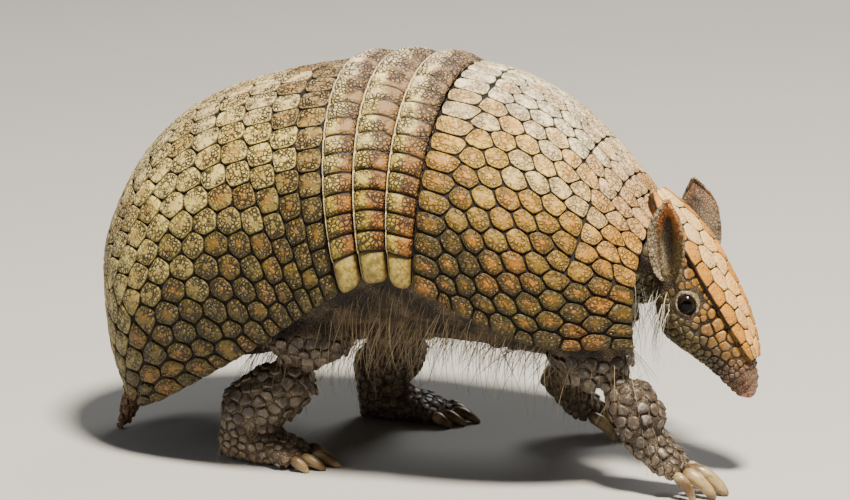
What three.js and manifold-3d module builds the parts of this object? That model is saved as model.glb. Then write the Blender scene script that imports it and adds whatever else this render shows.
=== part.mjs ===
// A three-banded armadillo (Tolypeutes), life size, standing in a walking pose with its nose to the ground.
// Millimetres, +Z up, +X towards the head, +Y towards the animal's left side. The floor is z = 0.
import * as THREE from "three";
import { mergeVertices } from "three/addons/utils/BufferGeometryUtils.js";
import Module from "manifold-3d";

const wasm = await Module();
wasm.setup();

const rad = THREE.MathUtils.degToRad;
const { clamp, lerp, smoothstep } = THREE.MathUtils;
const vec = (x, y, z) => new THREE.Vector3(x, y, z);

// ---- Driving dimensions ----------------------------------------------------------------------
const ORIGIN_X = -2.547; // puts the middle of the animal's length over the origin
const GAP = 0.35; // clearance between neighbouring pieces

// The carapace is a row of rings from the tail notch (q = 0) to the nape (q = 1). Each ring is an arch in a
// plane that holds the line from the middle of the back (back x, z) to the lower rim (rim x, z).
const CARAPACE = {
  q: [0.0, 0.1, 0.22, 0.34, 0.46, 0.58, 0.66, 0.74, 0.82, 0.91, 1.0],
  backX: [-97, -104, -106, -96, -70.5, -27, -3, 20, 42, 62.5, 76.5],
  backZ: [20, 38, 61, 88.5, 112.5, 125, 127.5, 126, 118, 100.5, 83],
  rimX: [-84, -73, -58, -42, -27, -11, 4, 17, 33, 57, 79],
  rimZ: [15, 20.5, 29.5, 39.5, 50, 61, 67, 63.5, 55.5, 47, 46],
  halfWidth: [33, 42, 49, 54, 57, 58, 58, 58, 56, 49, 37],
};
const RIM_ANGLE = rad(99); // how far round its arch each ring goes, from the middle of the back
const SHELL = 3.4; // thickness of the carapace with its scutes
const TAIL_NOTCH = 0.06; // depth, in q, of the notch over the tail
const BAND_EDGES = [0.59, 0.629, 0.676, 0.722]; // rear edges of the three bands, and of the front shield
const BAND_BULGE = 2.3; // how far a band stands out behind
const BAND_GAP = 0.0011; // half the clearance at a band's edge, in q

// The head is a row of rings from the back of the crown to the tip of the snout.
const HEAD = {
  base: vec(78.6, 0, 89.4),
  pitch: rad(57),
  yaw: rad(-7),
  at: [0, 12, 22, 32, 41, 48, 55, 61, 67, 71],
  top: [-2.2, 0.5, 1.6, 1.5, 1.4, 0.7, -0.8, -2.9, -4.6, -6.4],
  bottomAt: [40, 42.5, 45, 48.5, 52, 55.5, 59.5, 64, 68.5, 71],
  bottom: [-23.5, -22.2, -20.8, -19, -17.6, -16.4, -15.2, -14, -12.8, -11.6],
  halfWidth: [12.5, 16.2, 17, 15.6, 13.4, 11, 8.6, 6.6, 5.2, 4.6],
};
const HEAD_LENGTH = HEAD.at[HEAD.at.length - 1];
const HEAD_SHIELD = {
  at: [-1, 3, 11, 26, 37, 46, 53, 57, 60],
  halfWidth: [5, 8.8, 11.2, 11.8, 11, 9.4, 7.2, 5.8, 3.6],
  thickness: 1.5,
};
const EYE = { at: 34.2, side: 12.6, drop: 6.6, radius: 3.7 };
const EAR = {
  at: 24.3,
  side: 15,
  drop: 9.4,
  forward: 3.2,
  length: 27,
  width: 14,
  thickness: 1.7,
  lean: { right: 0.02, left: 0.2 }, // backwards
};

// ---- Curves and warped solids ----------------------------------------------------------------
// Smooth interpolation through named stations that never overshoots them.
function through(xs, ys) {
  const last = xs.length - 1;
  const step = xs.slice(1).map((x, i) => x - xs[i]);
  const rise = step.map((h, i) => (ys[i + 1] - ys[i]) / h);
  const slope = xs.map((_, i) => {
    if (i === 0) return rise[0];
    if (i === last) return rise[last - 1];
    if (rise[i - 1] * rise[i] <= 0) return 0;
    const a = 2 * step[i] + step[i - 1];
    const b = step[i] + 2 * step[i - 1];
    return (a + b) / (a / rise[i - 1] + b / rise[i]);
  });
  return (x) => {
    const at = clamp(x, xs[0], xs[last]);
    let i = 0;
    while (i < last - 1 && at > xs[i + 1]) i++;
    const t = (at - xs[i]) / step[i];
    const u = 1 - t;
    return (
      (1 + 2 * t) * u * u * ys[i] +
      t * u * u * step[i] * slope[i] +
      t * t * (3 - 2 * t) * ys[i + 1] -
      t * t * u * step[i] * slope[i + 1]
    );
  };
}

// Moves every vertex of a closed geometry to place(x, y, z) and joins the seams.
function warp(geometry, place) {
  const points = geometry.getAttribute("position");
  for (let i = 0; i < points.count; i++) {
    const p = place(points.getX(i), points.getY(i), points.getZ(i));
    points.setXYZ(i, p.x, p.y, p.z);
  }
  geometry.deleteAttribute("normal");
  geometry.deleteAttribute("uv");
  const merged = mergeVertices(geometry, 1e-4);
  const corners = Array.from(merged.index.array);
  const kept = corners.filter((_, i) => {
    const [a, b, c] = corners.slice(i - (i % 3), i - (i % 3) + 3);
    return a !== b && b !== c && c !== a;
  });
  return merged.setIndex(kept);
}

// A curved slab: u and v run 0 to 1 over its faces, and w from 0 on its inner face to 1 on its outer face.
function slab(along, across, place) {
  const box = new THREE.BoxGeometry(1, 1, 1, along, across, 1);
  return warp(box, (x, y, z) => place(x + 0.5, y + 0.5, z + 0.5));
}

// A limb-like solid: u runs 0 to 1 along it, and angle goes round it.
function limb(sides, rings, place) {
  const tube = new THREE.CylinderGeometry(1, 1, 1, sides, rings);
  return warp(tube, (x, y, z) => {
    const radius = Math.hypot(x, z);
    return place(0.5 - y, Math.atan2(x, z), radius);
  });
}

const solid = (geometry) =>
  new wasm.Manifold(
    new wasm.Mesh({
      numProp: 3,
      vertProperties: new Float32Array(geometry.getAttribute("position").array),
      triVerts: new Uint32Array(geometry.index.array),
    }),
  );

// Cutting can leave a crumb behind: the largest body is the piece.
const largest = (made) =>
  made.decompose().reduce((a, b) => (a.volume() > b.volume() ? a : b));

function geometryOf(made) {
  const mesh = made.getMesh();
  return new THREE.BufferGeometry()
    .setAttribute("position", new THREE.BufferAttribute(new Float32Array(mesh.vertProperties), 3))
    .setIndex(new THREE.BufferAttribute(new Uint32Array(mesh.triVerts), 1));
}

// ---- The carapace ----------------------------------------------------------------------------
const ringOf = Object.fromEntries(
  ["backX", "backZ", "rimX", "rimZ", "halfWidth"].map((k) => [k, through(CARAPACE.q, CARAPACE[k])]),
);

// A point of the carapace: q along the back, t from -1 at the right rim to 1 at the left one, and raise
// outwards from the outer surface.
function carapace(line, t, raise = 0) {
  const q = line + TAIL_NOTCH * Math.exp(-((t / 0.22) ** 2)) * clamp(1 - line / 0.18, 0, 1);
  const back = vec(ringOf.backX(q), 0, ringOf.backZ(q));
  const rim = vec(ringOf.rimX(q), 0, ringOf.rimZ(q));
  const up = back.clone().sub(rim);
  const height = up.length() / (1 - Math.cos(RIM_ANGLE));
  up.normalize();
  const width = ringOf.halfWidth(q) / Math.sin(RIM_ANGLE);
  const angle = t * RIM_ANGLE;
  const centre = back.clone().addScaledVector(up, -height);
  return centre
    .addScaledVector(up, (height + raise) * Math.cos(angle))
    .add(vec(0, (width + raise) * Math.sin(angle), 0));
}

// A band rises behind and runs down in front to where the next piece forward overlaps it.
const bandBulge = (f) => BAND_BULGE * Math.sin(Math.PI * (0.2 + 0.8 * f));
const frontEdgeRise = (f) => 1.6 * smoothstep(0.12 - f, 0, 0.12);

// The lines across the carapace where each piece's faces meet, as values of q.
const linesOf = (from, to, count) =>
  Array.from({ length: count + 1 }, (_, i) => lerp(from, to, i / count));
const PELVIC_LINES = linesOf(0, BAND_EDGES[0] - BAND_GAP, 12);
const SCAPULAR_LINES = linesOf(BAND_EDGES[3] + BAND_GAP, 1, 8);
const BAND_LINES = [0, 1, 2].map((i) =>
  linesOf(BAND_EDGES[i] + BAND_GAP, BAND_EDGES[i + 1] - BAND_GAP, 3),
);
const ACROSS = 20;

function carapacePiece(lines, bulge) {
  const count = lines.length - 1;
  return slab(count, ACROSS, (u, v, w) =>
    carapace(lines[Math.round(u * count)], lerp(-1, 1, v), bulge(u) - SHELL * (1 - w)),
  );
}

const pelvicShield = carapacePiece(PELVIC_LINES, () => 0);
const scapularShield = carapacePiece(SCAPULAR_LINES, frontEdgeRise);
const bands = BAND_LINES.map((lines) => carapacePiece(lines, bandBulge));

// ---- The trunk -------------------------------------------------------------------------------
const BELLY = {
  x: [-84, -60, -30, 10, 45, 72],
  z: [24, 27, 33, 38, 35, 36],
  halfWidth: [24, 33, 38, 40, 38, 27],
};
const bellyZ = through(BELLY.x, BELLY.z);
const bellyWidth = through(BELLY.x, BELLY.halfWidth);
const TRUNK_ACROSS = 8;

// The trunk fills the carapace: its lines lie under every second one of the pieces above it.
const TRUNK_LINES = [
  ...PELVIC_LINES.filter((_, i) => i > 0 && i % 2 === 0),
  BAND_EDGES[2],
  ...SCAPULAR_LINES.filter((_, i) => i < 7 && i % 2 === 0),
];

function trunkSolid(grow) {
  const count = TRUNK_LINES.length - 1;
  return slab(count, TRUNK_ACROSS, (u, v, w) => {
    const q = TRUNK_LINES[Math.round(u * count)];
    const t = lerp(-1, 1, v);
    const top = carapace(q, (t * TRUNK_ACROSS * 2) / ACROSS, -SHELL - GAP + grow);
    const x = lerp(ringOf.rimX(q), ringOf.backX(q), 0.12);
    const angle = (t * Math.PI) / 2;
    const rimLevel = lerp(bellyZ(x), top.z, 0.35);
    const low = vec(
      x,
      (bellyWidth(x) + grow) * Math.sin(angle),
      rimLevel - (rimLevel - bellyZ(x) + grow) * Math.cos(angle),
    );
    return low.lerp(top, w);
  });
}

// ---- The head --------------------------------------------------------------------------------
const headAxis = vec(
  Math.cos(HEAD.pitch) * Math.cos(HEAD.yaw),
  Math.cos(HEAD.pitch) * Math.sin(HEAD.yaw),
  -Math.sin(HEAD.pitch),
);
const headLeft = vec(-Math.sin(HEAD.yaw), Math.cos(HEAD.yaw), 0);
const headUp = headAxis.clone().cross(headLeft);
const headCurve = Object.fromEntries(
  ["top", "bottomAt", "bottom", "halfWidth"].map((k) => [k, through(HEAD.at, HEAD[k])]),
);

// A place on the head: along it from the crown, to its left, and above its brow line.
const onHead = (along, left, up) =>
  HEAD.base
    .clone()
    .addScaledVector(headAxis, along)
    .addScaledVector(headLeft, left)
    .addScaledVector(headUp, up);

const power = (value, exponent) => Math.sign(value) * Math.abs(value) ** exponent;

// The rings lean forwards below at the back of the head and stand square to the snout at its tip. The
// outline is flat above, under the shield, and rounder below.
function headRing(along) {
  const top = onHead(along, 0, headCurve.top(along));
  const bottom = onHead(headCurve.bottomAt(along), 0, headCurve.bottom(along));
  return {
    middle: top.clone().lerp(bottom, 0.5),
    half: top.clone().sub(bottom).multiplyScalar(0.5),
    width: headCurve.halfWidth(along),
  };
}

function headSolid(grow) {
  return limb(16, 12, (u, angle, radius) => {
    const share = (1 - Math.cos(Math.PI * u)) / 2;
    const along = HEAD_LENGTH * share;
    const { middle, half, width } = headRing(along);
    middle.addScaledVector(headAxis, share === 0 ? -grow : share === 1 ? grow : 0);
    if (radius < 0.5) return middle;
    const end = Math.min(along, HEAD_LENGTH - along);
    const round = Math.sqrt(1 - (1 - clamp(end / 5, 0, 1)) ** 2);
    const flat = Math.cos(angle) > 0 ? 2 / 3.2 : 2 / 2.1;
    const height = half.length();
    return middle
      .addScaledVector(half, (1 + grow / height) * power(Math.cos(angle), flat) * round)
      .addScaledVector(headLeft, (width + grow) * power(Math.sin(angle), flat) * round);
  });
}

const shieldWidth = through(HEAD_SHIELD.at, HEAD_SHIELD.halfWidth);
const shieldFrom = HEAD_SHIELD.at[0];
const shieldTo = HEAD_SHIELD.at[HEAD_SHIELD.at.length - 1];

// The shield lies on the head and bends down a little towards its edges.
function headShieldPoint(u, v, raise) {
  const along = lerp(shieldFrom, shieldTo, u);
  const left = lerp(-1, 1, v) * shieldWidth(along);
  const { middle, half, width } = headRing(clamp(along, 2, HEAD_LENGTH));
  const fall = (1 - Math.abs(left / width) ** 3.2) ** (1 / 3.2);
  return middle
    .addScaledVector(half, fall)
    .addScaledVector(headAxis, Math.min(along - 2, 0))
    .addScaledVector(headLeft, left * (1 + raise / 20))
    .addScaledVector(headUp, raise + 0.35 * Math.min(along - 2, 0));
}

function headShieldSolid() {
  return slab(10, 8, (u, v, w) => headShieldPoint(u, v, GAP + HEAD_SHIELD.thickness * w));
}

const eyeCentre = (side) => onHead(EYE.at, side * EYE.side, -EYE.drop);

function eyeSolid(side, grow) {
  const ball = new THREE.SphereGeometry(EYE.radius + grow, 12, 8);
  const at = eyeCentre(side);
  return warp(ball, (x, y, z) => vec(x, y, z).add(at));
}

// An ear is an oval cup that stands up from the side of the crown, hollow side outwards.
function earSolid(side) {
  const root = onHead(EAR.at, side * EAR.side, -EAR.drop).add(vec(EAR.forward, 0, 0));
  const lean = side < 0 ? EAR.lean.right : EAR.lean.left;
  const tall = vec(-lean, side * 0.15, 0.98).normalize();
  const wide = vec(0.93, side * 0.18, 0.32);
  wide.addScaledVector(tall, -wide.dot(tall)).normalize();
  const out = tall.clone().cross(wide).multiplyScalar(side);
  return slab(8, 6, (u, v, w) => {
    const across = lerp(-1, 1, v) * side;
    const half = (EAR.width / 2) * Math.sqrt(clamp(1 - ((u - 0.52) / 0.56) ** 2, 0.06, 1));
    const cup = 4.2 * across * across * (1 - 0.35 * u);
    const thickness = EAR.thickness * (1 - 0.4 * u);
    return root
      .clone()
      .addScaledVector(tall, EAR.length * u)
      .addScaledVector(wide, half * across)
      .addScaledVector(out, cup * (half / (EAR.width / 2)) + thickness * (w - 0.5));
  });
}

// ---- Limbs, tail and neck --------------------------------------------------------------------
// A rounded solid along a smooth line of [x, y, z, half width, half thickness] stations.
function loft(stations, sides, rings, grow = 0, ends = 1) {
  const line = new THREE.CatmullRomCurve3(stations.map(([x, y, z]) => vec(x, y, z)));
  const share = stations.map((_, i) => i / (stations.length - 1));
  const wideAt = through(share, stations.map((s) => s[3]));
  const thickAt = through(share, stations.map((s) => s[4]));
  const first = wideAt(0);
  const last = wideAt(1);
  const length = line.getLength();
  return limb(sides, rings, (u, angle, radius) => {
    const at = (1 - Math.cos(Math.PI * u)) / 2;
    const tangent = line.getTangent(at);
    const wide = vec(0, 1, 0).addScaledVector(tangent, -tangent.y).normalize();
    const thick = tangent.clone().cross(wide);
    const reach = ends * (at < 0.5 ? first : last);
    const end = (at < 0.5 ? at : 1 - at) * length;
    const round = Math.sqrt(1 - (1 - clamp(end / reach, 0, 1)) ** 2);
    const size = radius < 0.5 ? 0 : round;
    return line
      .getPoint(at)
      .addScaledVector(tangent, at === 0 ? -grow : at === 1 ? grow : 0)
      .addScaledVector(wide, (wideAt(at) + grow) * size * Math.sin(angle))
      .addScaledVector(thick, (thickAt(at) + grow) * size * Math.cos(angle));
  });
}

const NECK = [
  [48, 0, 70, 18, 18],
  [60, 0, 68.5, 18, 17],
  [71, 0, 66.5, 17, 14],
  [84, -1, 64, 15, 12.5],
];

const TAIL = [
  [-74, 0, 36, 8, 7.5],
  [-88, 0, 28.5, 7, 6.6],
  [-96.5, -1, 18.5, 5.6, 5.4],
  [-99.5, -3, 10, 4.2, 4],
  [-101, -6, 3.6, 2.8, 2.8],
  [-101.5, -10, 1, 1.4, 1.5],
];

// Each leg: which side of the body it is on, and where its foot stands.
const LEGS = {
  fore_right: { side: -1, foot: 91 },
  fore_left: { side: 1, foot: 46 },
  hind_right: { side: -1, foot: -42 },
  hind_left: { side: 1, foot: -16 },
};
const SHOULDER = vec(54, 24, 55);
const HIP = vec(-36, 26, 54);

function foreLeg({ side, foot }) {
  const elbow = lerp(SHOULDER.x, foot, 0.5) - 3;
  return {
    upper: [
      [SHOULDER.x, side * SHOULDER.y, SHOULDER.z, 12, 16],
      [lerp(SHOULDER.x, elbow, 0.6), side * 28, 44, 11.5, 14],
      [elbow, side * 31, 32, 9.8, 11.5],
    ],
    lower: [
      [elbow, side * 31, 33, 8.8, 10.5],
      [lerp(elbow, foot, 0.5), side * 32, 25, 8, 9],
      [foot - 10, side * 31, 17.5, 7.6, 7],
      [foot - 2, side * 31, 10.5, 8.4, 5.4],
      [foot + 2, side * 31, 7, 7.6, 4],
    ],
  };
}

function hindLeg({ side, foot }) {
  const knee = lerp(HIP.x, foot, 0.6) + 15;
  return {
    upper: [
      [HIP.x, side * HIP.y, HIP.z, 14, 19],
      [lerp(HIP.x, knee, 0.6), side * 29, 44, 13, 16.5],
      [knee - 2, side * 31, 31, 11, 13],
    ],
    lower: [
      [knee - 3, side * 31, 31, 10, 11.5],
      [lerp(knee, foot - 14, 0.6), side * 31.5, 20, 8.8, 10],
      [foot - 14, side * 31.5, 10, 8, 9.6],
      [foot - 8, side * 32, 6, 8.6, 7.6],
      [foot + 4, side * 32.5, 4.6, 9.4, 5.6],
      [foot + 13, side * 33, 3.6, 8.8, 4.4],
    ],
  };
}

// Claws by how far they stand out from the middle of the foot, their length and their root's half width.
const FORE_CLAWS = [
  { out: -5.6, length: 13, root: 2.0 },
  { out: -1.4, length: 17, root: 2.6 },
  { out: 3.0, length: 14, root: 2.2 },
  { out: 6.6, length: 9, root: 1.7 },
];
const HIND_CLAWS = [
  { out: -7.4, length: 6.5, root: 1.7 },
  { out: -3.9, length: 8.5, root: 2.0 },
  { out: 0.4, length: 9.5, root: 2.2 },
  { out: 4.7, length: 8.5, root: 2.0 },
  { out: 8.2, length: 6, root: 1.7 },
];

function foreToe({ side, foot }, { out, length, root }) {
  const y = side * (31 + out);
  const spread = side * out * 0.25;
  const knuckle = foot + 1 - Math.abs(out - 0.5) * 0.45;
  const reach = length * 0.78;
  return {
    flesh: [
      [knuckle - 4, y, 10, root + 0.6, root + 1.2],
      [knuckle + 2, y + spread * 0.2, 8.6, root + 0.7, root + 1],
      [knuckle + 4.5, y + spread * 0.3, 7.4, root + 0.4, root + 0.7],
    ],
    claw: [
      [knuckle + 3.4, y + spread * 0.3, 7.9, root * 0.9, root * 1.1],
      [knuckle + 3.4 + reach * 0.45, y + spread * 0.6, 6.1, root * 0.85, root],
      [knuckle + 3.4 + reach * 0.8, y + spread * 0.9, 2.6, root * 0.6, root * 0.75],
      [knuckle + 3.4 + reach, y + spread, -0.4, root * 0.4, root * 0.5],
    ],
  };
}

function hindToe({ side, foot }, { out, length, root }) {
  const y = side * (33 + out);
  const spread = side * out * 0.2;
  const knuckle = foot + 13 - Math.abs(out - 0.5) * 0.55;
  return {
    flesh: [
      [knuckle - 6, y, 4, root + 0.7, 3.6],
      [knuckle, y + spread * 0.3, 3.6, root + 0.7, 3.2],
      [knuckle + 3, y + spread * 0.4, 3.2, root + 0.4, 2.6],
    ],
    claw: [
      [knuckle + 2, y + spread * 0.4, 3.6, root * 0.92, 2],
      [knuckle + 2 + length * 0.4, y + spread * 0.7, 2.9, root * 0.92, 1.8],
      [knuckle + 2 + length * 0.75, y + spread * 0.9, 1.6, root * 0.75, 1.3],
      [knuckle + 2 + length, y + spread, -0.1, root * 0.45, 0.8],
    ],
  };
}

// ---- Assembly --------------------------------------------------------------------------------
const armadillo = new THREE.Group();
armadillo.name = "armadillo";

const horn = new THREE.MeshStandardMaterial({ color: 0xc9a66b, roughness: 0.55 });
const bandHorn = new THREE.MeshStandardMaterial({ color: 0xb98f57, roughness: 0.55 });
const plateHorn = new THREE.MeshStandardMaterial({ color: 0xdca265, roughness: 0.5 });
const skin = new THREE.MeshStandardMaterial({ color: 0x8c7868, roughness: 0.7 });
const clawHorn = new THREE.MeshStandardMaterial({ color: 0xcbb894, roughness: 0.4 });
const eyeGlass = new THREE.MeshStandardMaterial({ color: 0x0c0a09, roughness: 0.08 });

function add(name, shape, material) {
  const geometry = shape.isBufferGeometry ? shape : geometryOf(largest(shape));
  geometry.translate(ORIGIN_X, 0, 0);
  geometry.computeVertexNormals();
  const mesh = new THREE.Mesh(geometry, material.clone());
  mesh.name = name;
  armadillo.add(mesh);
}

const aboveFloor = (made) => made.trimByPlane([0, 0, 1], 0);

add("pelvic_shield", pelvicShield, horn);
bands.forEach((band, i) => add(`band_${i + 1}`, band, bandHorn));
add("scapular_shield", scapularShield, horn);
add("head_shield", headShieldSolid(), plateHorn);

const trunk = solid(trunkSolid(0));
const trunkRoom = solid(trunkSolid(GAP));
const headRoom = solid(headSolid(GAP));
add("trunk", trunk, skin);

const eyes = [-1, 1].map((side) => solid(eyeSolid(side, GAP * 0.6)));
add("head", eyes.reduce((made, eye) => made.subtract(eye), solid(headSolid(0))), skin);
add("eye_right", eyeSolid(-1, 0), eyeGlass);
add("eye_left", eyeSolid(1, 0), eyeGlass);
for (const [name, side] of [["right", -1], ["left", 1]]) {
  add(`ear_${name}`, solid(earSolid(side)).subtract(headRoom), skin);
}

const neck = solid(loft(NECK, 16, 7, 0, 0.5)).subtract(trunkRoom).subtract(headRoom);
add("neck", neck, skin);
add("tail", aboveFloor(solid(loft(TAIL, 10, 10))).subtract(trunkRoom), skin);

for (const [name, leg] of Object.entries(LEGS)) {
  const fore = name.startsWith("fore");
  const { upper, lower } = fore ? foreLeg(leg) : hindLeg(leg);
  const [toes, claws] = fore ? [foreToe, FORE_CLAWS] : [hindToe, HIND_CLAWS];
  const parts = claws.map((claw) => toes(leg, claw));
  const clawRoom = parts.map(({ claw }) => solid(loft(claw, 6, 4, GAP)));
  const upperRoom = solid(loft(upper, 12, 7, GAP));
  const foot = parts.reduce(
    (made, { flesh }) => made.add(solid(loft(flesh, 6, 3))),
    solid(loft(lower, 10, 8)),
  );
  const cut = clawRoom.reduce((made, room) => made.subtract(room), foot.subtract(upperRoom));
  add(`${name}_leg`, solid(loft(upper, 12, 7)).subtract(trunkRoom), skin);
  add(`${name}_foot`, aboveFloor(cut), skin);
  parts.forEach(({ claw }, i) => {
    add(`${name}_claw_${i + 1}`, aboveFloor(solid(loft(claw, 6, 4))), clawHorn);
  });
}

export default armadillo;
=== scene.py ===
"""A three-banded armadillo: the looks of the still, life-size model.

The carapace is a mosaic of horny scutes on a dark bed, the head wears smooth plates, and one skin with scales
and hair covers the rest. Shapes are worked out in millimetres in the frame of the CAD part, and are scaled to
metres as each piece is finished.
"""

import bisect
import functools
import math
import random

import bmesh
import bpy
from mathutils import Matrix, Vector, kdtree, noise


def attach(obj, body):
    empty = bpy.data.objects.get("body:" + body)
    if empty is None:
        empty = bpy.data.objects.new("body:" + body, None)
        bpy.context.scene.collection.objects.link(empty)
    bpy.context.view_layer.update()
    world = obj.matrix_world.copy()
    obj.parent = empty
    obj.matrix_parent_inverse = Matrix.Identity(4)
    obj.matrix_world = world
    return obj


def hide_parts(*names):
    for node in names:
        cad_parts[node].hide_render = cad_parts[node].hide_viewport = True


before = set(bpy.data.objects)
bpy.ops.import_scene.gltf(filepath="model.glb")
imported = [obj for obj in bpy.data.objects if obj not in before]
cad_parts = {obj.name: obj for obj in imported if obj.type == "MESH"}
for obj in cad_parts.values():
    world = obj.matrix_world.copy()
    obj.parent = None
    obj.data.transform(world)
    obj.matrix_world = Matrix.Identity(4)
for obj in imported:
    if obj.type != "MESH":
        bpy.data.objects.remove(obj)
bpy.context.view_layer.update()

MM = 0.001
ORIGIN = Vector((-2.547, 0.0, 0.0))
PELVIC_SEED, SCAPULAR_SEED, BAND_SEED, PLATE_SEED, SCALE_SEED, HAIR_SEED = 11, 21, 30, 41, 51, 61


# ---- Colour, camera, light and floor -------------------------------------------------------------

def linear(text, alpha=1.0):
    """An sRGB hex colour as linear numbers."""
    def channel(c):
        return c / 12.92 if c <= 0.04045 else ((c + 0.055) / 1.055) ** 2.4
    return tuple(channel(int(text[i:i + 2], 16) / 255) for i in (1, 3, 5)) + (alpha,)


# The camera's angles round the animal and above it, its distance in metres, its lens and sensor in
# millimetres, and how high on the animal it looks.
CAMERA_TURN, CAMERA_LIFT = math.radians(17.5), math.radians(12.5)
CAMERA_AWAY, CAMERA_LENS, CAMERA_SENSOR, CAMERA_FAR = 1.5, 198.5, 36, 20
AIM_HEIGHT = 64.9

# Each lamp's name, place, height that it is aimed at, size, power and colour.
LAMPS = [("key_light", (0.4, -0.42, 1.4), 0.06, 0.3, 72, "#FFF6E8"),
         ("fill_light", (-0.9, -1.1, 0.6), 0.06, 0.9, 3, "#E8F0FF"),
         ("rim_light", (0.1, 1.2, 1.0), 0.08, 0.6, 7, "#FFFFFF")]
SURROUND_COLOUR, SURROUND_STRENGTH = "#E9ECEF", 0.1
FLOOR_COLOUR, FLOOR_ROUGHNESS, FLOOR_REACH = "#B9B7B1", 0.75, 6


def set_camera():
    """A long lens to the right of the animal and a little in front, looking down a little."""
    level = math.cos(CAMERA_LIFT)
    look = Vector((-math.sin(CAMERA_TURN) * level, math.cos(CAMERA_TURN) * level, -math.sin(CAMERA_LIFT)))
    aim = Vector((ORIGIN.x, 0, AIM_HEIGHT)) * MM
    camera = bpy.data.objects.new("camera", bpy.data.cameras.new("camera"))
    camera.data.lens = CAMERA_LENS
    camera.data.sensor_width = CAMERA_SENSOR
    camera.data.clip_end = CAMERA_FAR
    camera.location = aim - look * CAMERA_AWAY
    camera.rotation_euler = look.to_track_quat("-Z", "Y").to_euler()
    bpy.context.scene.collection.objects.link(camera)
    bpy.context.scene.camera = camera


def add_light(name, place, height, size, power, colour):
    """A soft round lamp aimed at a height above the middle of the floor, in metres and watts."""
    lamp = bpy.data.lights.new(name, "AREA")
    lamp.shape = "DISK"
    lamp.size = size
    lamp.energy = power
    lamp.color = linear(colour)[:3]
    light = bpy.data.objects.new(name, lamp)
    light.location = place
    light.rotation_euler = (Vector((0, 0, height)) - Vector(place)).to_track_quat("-Z", "Y").to_euler()
    bpy.context.scene.collection.objects.link(light)


def set_studio():
    """A pale floor and a dim, even surround, with a strong lamp above the animal's right shoulder, a weak one
    behind on its right, and one on its left that lights its outline."""
    world = bpy.data.worlds.new("studio")
    world.use_nodes = True
    backdrop = world.node_tree.nodes["Background"]
    backdrop.inputs["Color"].default_value = linear(SURROUND_COLOUR)
    backdrop.inputs["Strength"].default_value = SURROUND_STRENGTH
    bpy.context.scene.world = world
    for lamp in LAMPS:
        add_light(*lamp)
    bm = bmesh.new()
    bmesh.ops.create_grid(bm, x_segments=1, y_segments=1, size=FLOOR_REACH)
    mesh = bpy.data.meshes.new("floor")
    bm.to_mesh(mesh)
    bm.free()
    floor = bpy.data.objects.new("floor", mesh)
    bpy.context.scene.collection.objects.link(floor)
    material = bpy.data.materials.new("painted_floor")
    material.use_nodes = True
    shader = material.node_tree.nodes["Principled BSDF"]
    shader.inputs["Base Color"].default_value = linear(FLOOR_COLOUR)
    shader.inputs["Roughness"].default_value = FLOOR_ROUGHNESS
    mesh.materials.append(material)


# ---- The forms that the solids share ------------------------------------------------------------

def through(xs, ys):
    """A smooth curve through values at given stations that never overshoots them."""
    last = len(xs) - 1
    step = [b - a for a, b in zip(xs, xs[1:])]
    rise = [(b - a) / h for a, b, h in zip(ys, ys[1:], step)]
    slope = [rise[0]] + [0.0] * (last - 1) + [rise[-1]]
    for i in range(1, last):
        if rise[i - 1] * rise[i] > 0:
            a = 2 * step[i] + step[i - 1]
            b = step[i] + 2 * step[i - 1]
            slope[i] = (a + b) / (a / rise[i - 1] + b / rise[i])

    def curve(x):
        x = min(max(x, xs[0]), xs[-1])
        i = min(bisect.bisect_right(xs, x) - 1, last - 1)
        t = (x - xs[i]) / step[i]
        u = 1 - t
        return ((1 + 2 * t) * u * u * ys[i] + t * u * u * step[i] * slope[i]
                + t * t * (3 - 2 * t) * ys[i + 1] - t * t * u * step[i] * slope[i + 1])

    return curve


def lerp(a, b, t):
    """The number a share t of the way from a to b."""
    return a + (b - a) * t


def ease(low, high, x):
    """A smooth rise from 0 at low to 1 at high, or a fall where high is the smaller."""
    t = min(max((x - low) / (high - low), 0.0), 1.0)
    return t * t * (3 - 2 * t)


# The carapace at stations from tail to nape: its back, its rim and its half width, in millimetres.
RINGS = [0.0, 0.1, 0.22, 0.34, 0.46, 0.58, 0.66, 0.74, 0.82, 0.91, 1.0]
back_x = through(RINGS, [-97, -104, -106, -96, -70.5, -27, -3, 20, 42, 62.5, 76.5])
back_z = through(RINGS, [20, 38, 61, 88.5, 112.5, 125, 127.5, 126, 118, 100.5, 83])
RIM_X = [-84, -73, -58, -42, -27, -11, 4, 17, 33, 57, 79]
RIM_Z = [15, 20.5, 29.5, 39.5, 50, 61, 67, 63.5, 55.5, 47, 46]
rim_x = through(RINGS, RIM_X)
rim_z = through(RINGS, RIM_Z)
rim_height = through(RIM_X, RIM_Z)
half_width = through(RINGS, [33, 42, 49, 54, 57, 58, 58, 58, 56, 49, 37])
RIM_ANGLE = math.radians(99)
SHELL = 3.4

# The notch over the tail, as shares of the carapace's length and of its half girth.
NOTCH_DEPTH, NOTCH_WIDTH, NOTCH_LENGTH = 0.06, 0.22, 0.18

# The bands' edges along the carapace, how far they bulge, and half the gap between two of them.
BAND_EDGES = [0.59, 0.629, 0.676, 0.722]
BAND_BULGE = 2.3
BAND_GAP = 0.0011


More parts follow.
